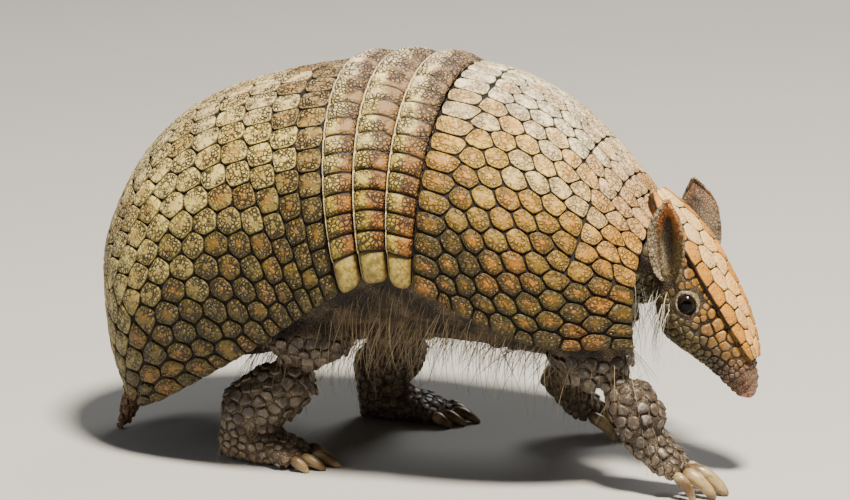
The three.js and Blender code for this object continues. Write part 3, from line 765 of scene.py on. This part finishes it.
# ---- The head shield ----------------------------------------------------------------------------

# The lines between the rows of plates from right to left, and in millimetres the heights of a plate's foot
# inside the shield and at its rim, of the bed's top, and the width of a groove. The wall is lower behind the
# crown, by its share.
PLATE_ROWS, PLATES_IN_A_ROW = [-1, -0.54, 0.02, 0.57, 1], 8
PLATE_FOOT, PLATE_RIM_FOOT, PLATE_BED_TOP, PLATE_GROOVE = 0.9, -2.2, 1.15, 0.22
CROWN_WALL = 0.25


def head_shield(material, dark):
    """Smooth plates in four crooked rows from the crown to the snout, each row half a plate off the next. The
    mosaic's lines run along the head, and its cells get smaller towards the snout."""
    def place(row, step, height):
        u = (step + 1) / 2
        low = CROWN_WALL if step < -0.98 else 1.0
        return head_plate(u * (1.2 - 0.2 * u), row, height if height > 0 else height * low)

    def groove(*_):
        return PLATE_GROOVE

    def label(row, step):
        return step, abs(row)

    bm = tiles(PLATE_ROWS, [PLATES_IN_A_ROW] * 4, [0, 0.5, 0, 0.5], [0.17] * 5, PLATE_SEED, 0.09)
    bmesh.ops.reverse_faces(bm, faces=bm.faces)
    shapes = [((0.0, 2.0), [(0.05, 0.6, 0.96), (0.22, 0.22, 0.87), (0.7, 0.16, 0.6)])]
    raise_scutes(bm, place, (PLATE_FOOT, PLATE_RIM_FOOT), groove, shapes, PLATE_SEED + 1, 0.3, label, True)
    slab = bed(head_plate, PLATE_CLEARANCE, PLATE_BED_TOP, 0.0, 1.0, 30, 16)
    add_mosaic("head", bm, material, "head_plates", "head_shield", slab, dark)


# ---- Flesh --------------------------------------------------------------------------------------

LEGS = ["fore_right", "fore_left", "hind_right", "hind_left"]
FLESH = ["trunk", "neck", "head", "tail"] + [f"{leg}_{part}" for leg in LEGS for part in ("leg", "foot")]

# The size of the skin's faces off the head, how far it lies inside the solids, where the tail starts, how
# high the limbs reach, and how far from the middle they stand.
SKIN_STEP, COAT_DEPTH = 1.25, 0.35
TAIL_AT, LIMB_TOP, LIMB_IN = -76, 42, 17

# The dark belly and leg colours are partly the skin's own and partly painted shade, and crack and ear_inside
# are painted shade.
TINTS = {name: Vector(linear(colour)[:3]) for name, colour in {
    "belly": "#241A11", "leg": "#4B3F33", "foot": "#5E4E3D", "tail": "#6B4A2E", "cheek": "#33261A",
    "brow": "#35260F", "snout": "#74543F", "tip": "#BE8272", "lid": "#D6CBB0", "ear_front": "#C8782A",
    "ear_flap": "#77612F", "ear_inside": "#130B06", "ear_rim": "#C2B08C", "far_ear": "#8B7A66",
    "plate_side": "#A87424", "olive": "#7C6C34", "crack": "#120A05", "fawn_hair": "#CDB98F",
    "brown_hair": "#6B5538", "white_hair": "#F1EAD8"}.items()}


def head_place(point):
    """Where a point is on the head: along it from the crown, to its left, and above its brow line."""
    offset = point - HEAD_BASE
    return offset.dot(HEAD_AXIS), offset.dot(HEAD_LEFT), offset.dot(HEAD_UP)


def on_the_head(point):
    """Whether a point of the skin is on the head, and not on the neck or a fore leg."""
    along, left, up = head_place(point)
    beside = abs(left) < 22 and -34 < up < 6
    return beside and point.x > 66 + ORIGIN.x and along > 6 - 0.2 * up and point.z > 20


def on_the_tail(point, margin=0):
    """Whether a point of the skin is on the tail, or nearer to its tip than its root by a margin."""
    return point.x < TAIL_AT - margin and point.z < LIMB_TOP


def on_a_limb(point, inner):
    """Whether a point of the skin is on a leg or a foot, further to the side than the inner distance."""
    return point.z < LIMB_TOP and abs(point.y) > inner


def eye_socket(side):
    """The middle of an eye and the direction that it looks in."""
    centre = on_head(EYE_AT, side * EYE_SIDE, -EYE_DROP)
    return centre, (HEAD_LEFT * side * 0.9 + HEAD_AXIS * 0.22 + HEAD_UP * 0.28).normalized()


def flesh_tint(point):
    """The colour of the skin and of its scales at one place."""
    if on_the_head(point):
        along, _, up = head_place(point)
        colour = TINTS["brow"].lerp(TINTS["cheek"], ease(-3, -8, up))
        colour = colour.lerp(TINTS["snout"], ease(52, 62, along + 0.4 * up))
        return colour.lerp(TINTS["tip"], ease(66, 70, along))
    if on_the_tail(point):
        return TINTS["tail"]
    # Darker up under the shell than on the feet: partly the skin's own colour, partly painted shade.
    colour = TINTS["belly"].lerp(TINTS["leg"], ease(45, 34, point.z))
    return colour.lerp(TINTS["foot"], ease(16, 6, point.z))


def solid_copy(nodes):
    """A merged copy of some solids, in millimetres."""
    bm = bmesh.new()
    for name in nodes:
        bm.from_mesh(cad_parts[name].data)
    bmesh.ops.scale(bm, vec=(1 / MM, 1 / MM, 1 / MM), verts=bm.verts)
    bmesh.ops.remove_doubles(bm, verts=bm.verts, dist=0.001)
    return bm


def remeshed(bm, step):
    """One closed skin of even faces round everything in a bmesh, which it uses up."""
    mesh = bpy.data.meshes.new("flesh")
    bm.to_mesh(mesh)
    bm.free()
    lump = bpy.data.objects.new("flesh", mesh)
    bpy.context.scene.collection.objects.link(lump)
    grow = lump.modifiers.new("skin", "REMESH")
    grow.mode = "VOXEL"
    grow.voxel_size = step
    made = bpy.data.meshes.new_from_object(lump.evaluated_get(bpy.context.evaluated_depsgraph_get()))
    bpy.data.objects.remove(lump)
    skin = bmesh.new()
    skin.from_mesh(made)
    return skin


def take_in(bm, part):
    """Moves all of one bmesh into another."""
    mesh = bpy.data.meshes.new("part")
    part.to_mesh(mesh)
    part.free()
    bm.from_mesh(mesh)


mouth_line = through([52, 58, 64, 69.5], [-16.6, -14.4, -12.2, -9.6])
MOUTH_DEPTH, LIP_WIDTH = 1.1, 0.55
NOSTRIL, NOSTRIL_DEPTH, NOSTRIL_WIDTH = (70.4, 2.3, -8.6), 1.5, 1.05


def skin_relief(point):
    """How far the hide stands in or out at one place: folds on the limbs, rings on the snout, the mouth and
    the nostrils."""
    rough = noise.fractal(point * 0.22, 1.0, 2.0, 3)
    if not on_the_head(point):
        fold = math.sin(point.z * 1.9 + 2.5 * noise.noise(point * 0.12)) if point.z < 45 else 0
        return 0.35 * rough + 0.22 * fold * ease(3, 8, point.z)
    along, left, up = head_place(point)
    depth = 0.2 * rough
    depth += 0.2 * math.sin(along * 2.8 + 3 * noise.noise(point * 0.3)) * ease(56, 62, along)
    parted = math.exp(-((up - mouth_line(along)) / LIP_WIDTH) ** 2)
    depth -= MOUTH_DEPTH * parted * ease(50, 55, along) * ease(1.0, 2.4, abs(left))
    for side in (-1, 1):
        gap = Vector((along - NOSTRIL[0], left - side * NOSTRIL[1], up - NOSTRIL[2])).length
        depth -= NOSTRIL_DEPTH * math.exp(-((gap / NOSTRIL_WIDTH) ** 2))
    return depth


EAR_HEIGHT, EAR_HALF, EAR_BOWL, EAR_WALL = 27, 6.6, 4.2, 0.75
PEBBLE = 1.25


def ear_part(bm, side):
    """An ear: a thin oval cup with a point, hollow side outwards, pebbled on the flap in front and pale along
    its rear rim."""
    root = on_head(24.3, side * 15, -9.4) + Vector((3.2, 0, 0))
    lean = 0.02 if side < 0 else 0.2
    tall = Vector((-lean, side * 0.15, 0.98)).normalized()
    wide = Vector((0.93, side * 0.18, 0.32))
    wide = (wide - tall * wide.dot(tall)).normalized()
    out = tall.cross(wide) * side
    cup = bmesh.new()
    tint = cup.verts.layers.float_vector.new("tint")
    bmesh.ops.create_grid(cup, x_segments=70, y_segments=44, size=1)
    for v in cup.verts:
        u, across = (v.co.x + 1) / 2, v.co.y * side
        half = EAR_HALF * math.sqrt(min(max(1 - ((u - 0.5) / 0.55) ** 2, 0.05), 1))
        half *= math.sqrt(max(1 - ease(0.62, 1.0, u) ** 1.6, 0.0)) * 0.96 + 0.04
        bowl = EAR_BOWL * across * across * (1 - 0.35 * u) * half / 7
        ridge = 0.9 * math.exp(-(((across + 0.38) / 0.1) ** 2)) * ease(0.62, 0.3, u) * ease(0.02, 0.15, u)
        slit = math.exp(-(((across + 0.05 - 0.3 * (u - 0.5)) / 0.36) ** 2))
        slit = min(1.5 * slit * ease(0.06, 0.3, u) * ease(0.9, 0.72, u), 1.0)
        curl = 0.8 * ease(0.8, 1.0, abs(across)) * ease(0.1, 0.5, u)
        gap = noise.voronoi(Vector((u * EAR_HEIGHT, across * half, 9.0 * side)) / PEBBLE)[0]
        pebble = ease(0.03, 0.3, gap[1] - gap[0]) * (1 - slit)
        notch = 0.25 * noise.noise(Vector((u * 9, side * 4.0, 0))) * abs(across)
        colour = TINTS["ear_flap"].lerp(TINTS["ear_front"], ease(0.5, 0.8, u + 0.15 * noise.noise(v.co * 6)))
        colour = TINTS["ear_rim"].lerp(colour, ease(-0.78, -0.55, across))
        # Near black in the slit of the cup: painted shade in the hollow.
        colour = colour.lerp(TINTS["ear_inside"], 0.95 * slit)
        colour = colour.lerp(TINTS["ear_rim"], max(0.7 * ridge, 0.6 * ease(0.88, 1.0, abs(across))))
        # Dark cracks between the pebbles: painted shade.
        colour = TINTS["crack"].lerp(colour, lerp(0.35, 1.0, max(pebble, slit)))
        v[tint] = colour if side < 0 else colour.lerp(TINTS["far_ear"], 0.6)
        v.co = (root + tall * EAR_HEIGHT * (0.985 * u + 0.005) + wide * (half + notch) * across * 0.97
                + out * (bowl + ridge - curl - 0.8 * slit - 0.25 * (1 - pebble)))
    cup.normal_update()
    bmesh.ops.solidify(cup, geom=cup.faces, thickness=-EAR_WALL)
    bmesh.ops.recalc_face_normals(cup, faces=cup.faces)
    take_in(bm, cup)


LID_REACH, LID_ROLL = 4.1, 0.8


def lid_part(bm, side):
    """Eyelids: a thick pale ring of skin that the eye looks out of, longer than it is high."""
    centre, out = eye_socket(side)
    level = (HEAD_AXIS - out * HEAD_AXIS.dot(out)).normalized()
    turn = Matrix((level, out.cross(level), out)).transposed()
    lid = bmesh.new()
    tint = lid.verts.layers.float_vector.new("tint")
    bmesh.ops.create_circle(lid, cap_ends=False, segments=14, radius=LID_ROLL)
    bmesh.ops.rotate(lid, verts=lid.verts, cent=(0, 0, 0), matrix=Matrix.Rotation(math.radians(90), 3, "X"))
    bmesh.ops.translate(lid, verts=lid.verts, vec=(LID_REACH, 0, 0))
    bmesh.ops.spin(lid, geom=lid.verts[:] + lid.edges[:], cent=(0, 0, 0), axis=(0, 0, 1), dvec=(0, 0, 0),
                   angle=math.tau, steps=48, use_merge=True)
    bmesh.ops.recalc_face_normals(lid, faces=lid.faces)
    for v in lid.verts:
        reach = math.hypot(v.co.x, v.co.y)
        around = math.atan2(v.co.y, v.co.x)
        outer = ease(LID_REACH, LID_REACH + LID_ROLL, reach)
        upper = ease(-0.5, 0.7, -side * v.co.y / reach)
        edge = lerp(3.65, 4.4, upper)
        crease = 0.16 * math.sin(around * 16 + math.sin(around * 3)) * outer
        corner = abs(math.cos(around)) ** 6
        # Dark crease round the pale lid: painted shade.
        shade = TINTS["lid"].lerp(TINTS["crack"], ease(edge - 0.1, edge + 0.3, reach))
        shade = shade.lerp(TINTS["olive"], 0.7 * ease(edge + 0.4, 4.8, reach))
        # Dark on the lid's inner side, against the eye: painted shade.
        v[tint] = shade if reach > 3.45 else TINTS["crack"]
        v.co = (v.co.x * (1.03 + 0.05 * corner), v.co.y * lerp(0.82, 0.98, outer),
                v.co.z + crease + 2.35 - 1.2 * outer - 0.35 * corner)
    bmesh.ops.rotate(lid, verts=lid.verts, cent=(0, 0, 0), matrix=turn)
    bmesh.ops.translate(lid, verts=lid.verts, vec=centre)
    take_in(bm, lid)


def unwrap(piece):
    """Lays the skin's own surface out flat, for the baked colours of the skin and of all that grows on it."""
    piece.data.uv_layers.new(name="OFBake")
    bpy.ops.object.select_all(action="DESELECT")
    piece.select_set(True)
    bpy.context.view_layer.objects.active = piece
    bpy.ops.object.mode_set(mode="EDIT")
    bpy.ops.mesh.select_all(action="SELECT")
    bpy.ops.uv.smart_project(angle_limit=math.radians(66), island_margin=0.001)
    bpy.ops.object.mode_set(mode="OBJECT")


def make_skin(material):
    """One skin round all the flesh, finer on the head, as deep under the solids as the coat is thick."""
    bm = remeshed(solid_copy(FLESH), SKIN_STEP)
    relax(bm, bm.verts, 3)
    head = [f for f in bm.faces if on_the_head(f.calc_center_median())]
    bmesh.ops.subdivide_edges(bm, edges=list({e for f in head for e in f.edges}), cuts=1, use_grid_fill=True)
    relax(bm, [v for v in bm.verts if on_the_head(v.co)], 2)
    bm.normal_update()
    tint = bm.verts.layers.float_vector.new("tint")
    moves = [(v, v.normal * (skin_relief(v.co) - COAT_DEPTH)) for v in bm.verts]
    for v, move in moves:
        v[tint] = flesh_tint(v.co)
        v.co += move
        v.co.z = max(v.co.z, 0)
    for side in (-1, 1):
        ear_part(bm, side)
        lid_part(bm, side)
    skin = finish_piece("skin", bm, material, "skin", FLESH + ["ear_right", "ear_left"])
    unwrap(skin)
    return skin


def make_eyes(material):
    """Eyeballs with a slightly domed cornea; the iris value is the angle from the middle of the pupil."""
    for side, name in ((-1, "right"), (1, "left")):
        centre, out = eye_socket(side)
        bm = bmesh.new()
        iris = bm.verts.layers.float.new("iris")
        bmesh.ops.create_uvsphere(bm, u_segments=40, v_segments=24, radius=EYE_RADIUS * 1.15)
        for v in bm.verts:
            away = math.acos(max(-1.0, min(1.0, v.co.normalized().z)))
            v[iris] = away
            v.co *= 0.97 + 0.045 * ease(0.85, 0.3, away)
        turn = out.to_track_quat("Z", "Y").to_matrix()
        bmesh.ops.rotate(bm, verts=bm.verts, cent=(0, 0, 0), matrix=turn)
        bmesh.ops.translate(bm, verts=bm.verts, vec=centre)
        finish_piece(f"eyeball_{name}", bm, material, "eyes", [f"eye_{name}"])


# ---- Scales and hair ----------------------------------------------------------------------------

def scatter(skin, spacing, seed):
    """Roots on the skin, no two nearer than the spacing there: place, outward direction, size, and place on
    the skin's unwrap."""
    mesh = skin.data
    layer = mesh.uv_layers["OFBake"].data
    order = list(range(len(mesh.polygons)))
    random.Random(seed).shuffle(order)
    cell = 1.5
    taken = {}
    roots = []
    for i in order:
        face = mesh.polygons[i]
        point = face.center / MM
        size = spacing(point, face.normal)
        if size <= 0:
            continue
        key = tuple(int(math.floor(c / cell)) for c in point)
        steps = range(-int(size / cell) - 1, int(size / cell) + 2)
        if any((other - point).length < size for dx in steps for dy in steps for dz in steps
               for other in taken.get((key[0] + dx, key[1] + dy, key[2] + dz), ())):
            continue
        taken.setdefault(key, []).append(point)
        uv = layer[face.loop_start].uv
        roots.append((point, face.normal.copy(), size, (uv.x, uv.y)))
    return roots


# How wide the patch of one scale or hair is on the baked map.
PATCH = 0.003


def finish_growth(name, bm, tint, uv, material, slot):
    """Makes a piece of all of one kind that grows on the skin, with a colour and a place on the baked map for
    each vertex."""
    for v in bm.verts:
        v.co.z = max(v.co.z, 0.05)
    piece = finish_piece(name, bm, material, slot)
    colours = piece.data.attributes.new("tint", "FLOAT_VECTOR", "POINT")
    colours.data.foreach_set("vector", [c for colour in tint for c in colour])
    bake = piece.data.uv_layers.new(name="OFBake")
    for loop in piece.data.loops:
        bake.data[loop.index].uv = uv[loop.vertex_index]
    return piece


# The corners of a lone scale, its reach and half the crack between two, as shares of their spacing.
SCALE_CORNERS, SCALE_REACH, SCALE_CRACK = 9, 0.7, 0.05


def polygon_scales(name, roots, tilt, shade, material, slot, seed):
    """Low horny scales that meet along dark cracks. Each covers the skin that is nearer to its own root than
    to any other, and its patch of the OFBake map is at its root's place on the skin's unwrap."""
    rng = random.Random(seed)
    near = kdtree.KDTree(len(roots))
    for i, root in enumerate(roots):
        near.insert(root[0], i)
    near.balance()
    whole = bmesh.new()
    copy = bpy.data.meshes.new("plate")
    tint = []
    uv = []
    for i, (point, normal, size, corner) in enumerate(roots):
        up = tilt(point, normal)
        turn = up.to_track_quat("Z", "Y").to_matrix()
        plate = bmesh.new()
        bmesh.ops.create_circle(plate, cap_ends=True, segments=SCALE_CORNERS, radius=size * SCALE_REACH)
        for other, j, _ in near.find_range(point, size * 1.7):
            offset = turn.transposed() @ (other - point)
            offset.z = 0
            if j != i and offset.length > 0.3 * size:
                geometry = plate.verts[:] + plate.edges[:] + plate.faces[:]
                bmesh.ops.bisect_plane(plate, geom=geometry, plane_co=offset * (0.5 - SCALE_CRACK),
                                       plane_no=offset, clear_outer=True)
        bmesh.ops.remove_doubles(plate, verts=plate.verts, dist=size * 0.16)
        if len(plate.faces) != 1:
            plate.free()
            continue
        plate.normal_update()
        face = plate.faces[:]
        if face[0].normal.z < 0:
            bmesh.ops.reverse_faces(plate, faces=face)
        bmesh.ops.inset_individual(plate, faces=face, thickness=0.03 * size, depth=0.11 * size + 0.3)
        bmesh.ops.inset_individual(plate, faces=face, thickness=0.16 * size, depth=0.05 * size)
        bmesh.ops.poke(plate, faces=face, offset=0.02 * size)
        bmesh.ops.holes_fill(plate, edges=[e for e in plate.edges if e.is_boundary], sides=0)
        bmesh.ops.recalc_face_normals(plate, faces=plate.faces)
        tint += [shade(point, rng)] * len(plate.verts)
        wide = 2 * SCALE_REACH * size
        uv += [(corner[0] + PATCH * (0.5 + v.co.x / wide), corner[1] + PATCH * (0.5 + v.co.y / wide))
               for v in plate.verts]
        seat = Matrix.Translation(point - up * 0.25) @ turn.to_4x4()
        bmesh.ops.transform(plate, matrix=seat, verts=plate.verts)
        plate.to_mesh(copy)
        plate.free()
        whole.from_mesh(copy)
    bpy.data.meshes.remove(copy)
    return finish_growth(name, whole, tint, uv, material, slot)


def grow(name, templates, roots, stand, material, slot, seed):
    """Copies small templates onto roots as one mesh. stand gives each root's turn and colour. Every copy has
    its own patch of the OFBake map, at its root's place on the skin's unwrap."""
    rng = random.Random(seed)
    bm = bmesh.new()
    tint = []
    uv = []
    for point, normal, _, corner in roots:
        matrix, colour = stand(point, normal, rng)
        template, flat = templates[rng.randrange(len(templates))]
        copy = template.copy()
        copy.transform(matrix)
        bm.from_mesh(copy)
        bpy.data.meshes.remove(copy)
        tint += [colour] * len(template.vertices)
        uv += [(corner[0] + x, corner[1] + y) for x, y in flat]
    return finish_growth(name, bm, tint, uv, material, slot)


def template_of(bm):
    """A small mesh to copy, with each vertex's place in its patch of the baked map."""
    bm.normal_update()
    mesh = bpy.data.meshes.new("template")
    bm.to_mesh(mesh)
    bm.free()
    xs = [v.co.x for v in mesh.vertices]
    ys = [v.co.y + v.co.z * 0.37 for v in mesh.vertices]
    span = max(max(xs) - min(xs), max(ys) - min(ys))
    return mesh, [((x - min(xs)) / span * PATCH, (y - min(ys)) / span * PATCH) for x, y in zip(xs, ys)]


HAIR_SIDES, HAIR_STEPS, HAIR_RADIUS = 3, 5, 0.0085


def strand_template(bend):
    """One tapering hair of unit length that bends over as it leaves the skin."""
    bm = bmesh.new()
    bmesh.ops.create_cone(bm, cap_ends=True, segments=HAIR_SIDES, radius1=1.0, radius2=0.25, depth=1.0)
    bmesh.ops.translate(bm, verts=bm.verts, vec=(0, 0, 0.5))
    sides_up = [e for e in bm.edges if abs(e.verts[0].co.z - e.verts[1].co.z) > 0.5]
    bmesh.ops.subdivide_edges(bm, edges=sides_up, cuts=HAIR_STEPS - 1)
    for v in bm.verts:
        v.co.x = v.co.x * HAIR_RADIUS + bend * v.co.z ** 2
        v.co.y *= HAIR_RADIUS
        v.co.z *= 1 - 0.25 * abs(bend) * v.co.z
    return template_of(bm)


def flow_at(point):
    """Which way scales and hair lie: down the legs, back along the trunk, up the head from the snout."""
    if on_the_head(point):
        return -HEAD_AXIS
    if point.z < 45:
        return Vector((0.25, 0, -1))
    return Vector((-0.6, 0, -0.8))


def scale_spacing(point, normal):
    """The distance between scales at one place, or 0 where there are none."""
    if on_the_head(point):
        along, left, up = head_place(point)
        eye = min((point - eye_socket(side)[0]).length for side in (-1, 1))
        covered = up > -5 and abs(left) - plate_width(min(along, 58)) < -0.6 and along < 60
        by_ear = along < 29 and up > -15 and abs(left) > head_width(along) - 3
        if covered or by_ear or along > 62 or eye < 6.2 or along < 14:
            return 0
        size = lerp(3.6, 1.9, ease(-5, -12, up)) * lerp(1.0, 0.75, ease(40, 58, along))
        size = lerp(size, 1.5, ease(54, 60, along))
        return lerp(1.7, size, ease(7, 10, eye))
    if on_the_tail(point, 2):
        return 2.4
    if point.z < 1.0 or normal.z < -0.8:
        return 0
    if on_a_limb(point, LIMB_IN):
        return lerp(2.1, 3.3, ease(5, 22, point.z))
    return 0


def make_scales(skin, material):
    """Scales of the face, the legs and the tail, each leaning a little so that its lower edge stands out."""
    def tilt(point, normal):
        flow = flow_at(point)
        return (normal - (flow - normal * flow.dot(normal)).normalized() * 0.07).normalized()

    def shade(point, rng):
        colour = flesh_tint(point) * rng.uniform(0.75, 1.35)
        if on_the_head(point):
            along, _, up = head_place(point)
            plate = TINTS["plate_side"] * rng.uniform(0.35, 0.95)
            olive = TINTS["olive"] * rng.uniform(0.3, 1.0)
            colour = colour.lerp(olive, 0.6 * ease(58, 50, along))
            colour = colour.lerp(plate, ease(-9.5, -4.5, up) * ease(62, 54, along))
        return colour

    roots = scatter(skin, scale_spacing, SCALE_SEED)
    return polygon_scales("scales", roots, tilt, shade, material, "skin", SCALE_SEED + 1)


def hair_spacing(point, normal):
    """The distance between hairs at one place, or 0 where there are none."""
    if on_the_head(point):
        along, left, up = head_place(point)
        cheek = math.hypot(along - 28, up + 17)
        return 1.9 if cheek < 8 and 5 < abs(left) < head_width(along) + 1 else 0
    if point.x < -74 or point.z < 4:
        return 0
    if on_a_limb(point, LIMB_IN + 1):
        return 3.0
    if normal.z < 0.35 and point.z < rim_height(point.x - ORIGIN.x) - 2.0:
        return 2.0
    return 0


def make_hair(skin, material):
    """White whiskers on the cheeks, short bristles on the legs, and longer ones below the rim."""
    roots = scatter(skin, hair_spacing, HAIR_SEED)
    templates = [strand_template(bend) for bend in (0.1, 0.25, 0.4, 0.55)]

    def stand(point, normal, rng):
        pale, dark, white = TINTS["fawn_hair"], TINTS["brown_hair"], TINTS["white_hair"]
        if on_the_head(point):
            length, flow = rng.uniform(9, 19), Vector((0.25, 0, -1))
            colour = white.lerp(dark, 0.6 * rng.random() ** 2)
        elif on_a_limb(point, LIMB_IN + 1):
            length, flow = rng.uniform(4, 9), Vector((0.1, 0, -1))
            colour = pale.lerp(dark, rng.random())
        else:
            length, flow = 8 + 15 * rng.random() ** 2, Vector((-0.35, 0, -1))
            colour = pale.lerp(dark, rng.random() ** 0.7)
        stray = 0.12 if on_the_head(point) else 0.3
        flow += Vector([rng.uniform(-stray, stray) for _ in range(3)])
        along = (flow - normal * flow.dot(normal)).normalized()
        lean = rng.uniform(0.6, 1.1)
        up = (normal * math.cos(lean) + along * math.sin(lean)).normalized()
        drop = Vector((0, 0, -1))
        side = drop - up * drop.dot(up)
        side = side.normalized() if side.length > 0.05 else up.orthogonal().normalized()
        turn = Matrix((side, up.cross(side), up)).transposed()
        room = max(point.z - 1.0, 2.0)
        length = min(length, room / max(-up.z, 0.2)) if up.z < 0 else length
        size = Matrix.Diagonal((length, length, length))
        place = Matrix.Translation(point - normal * 0.3) @ (turn @ size).to_4x4()
        return place, colour * rng.uniform(0.7, 1.15)

    return grow("hair", templates, roots, stand, material, "skin", HAIR_SEED + 1)


def make_claws(material):
    """The claws of all four feet, rounded off from the solids."""
    names = [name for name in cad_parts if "_claw_" in name]
    bm = solid_copy(names)
    bmesh.ops.subdivide_edges(bm, edges=bm.edges, cuts=1, use_grid_fill=True, smooth=0.6)
    for v in bm.verts:
        v.co.z = max(v.co.z, 0)
    finish_piece("claws", bm, material, "claws", names)


set_camera()
set_studio()
dark_horn = groove_horn()
pelvic_horn = horn_scutes("pelvic_horn", back="#ECD49A", side="#E4CC70", rim="#50460C", heart="#80561C",
                          share=1.0, stretches=[("#5E5426", 0.36, 0.02, 0.7), ("#5C3A18", 0.543, 0.556, 0.7)])
pelvic_shield(pelvic_horn, dark_horn)
scapular_horn = horn_scutes("scapular_horn", back="#FFEFC4", side="#D2A838", rim="#453A03", heart="#A06618",
                            share=0.7, stretches=[("#D08C2E", 0.84, 0.97, 0.65)])
scapular_shield(scapular_horn, dark_horn)
moving_horn = band_horn()
for number in (1, 2, 3):
    band_scutes(number, moving_horn)
head_horn = horn_scutes("head_horn", back="#FFDA98", side="#F4B552", rim="#C4821C", heart="#E09A3C",
                        share=0.2, stretches=[("#E89C38", -0.5, 0.9, 0.6)])
head_shield(head_horn, dark_horn)
skin = make_skin(leathery_skin())
make_eyes(wet_eye())
make_scales(skin, scale_horn())
make_hair(skin, coarse_hair())
make_claws(claw_horn())
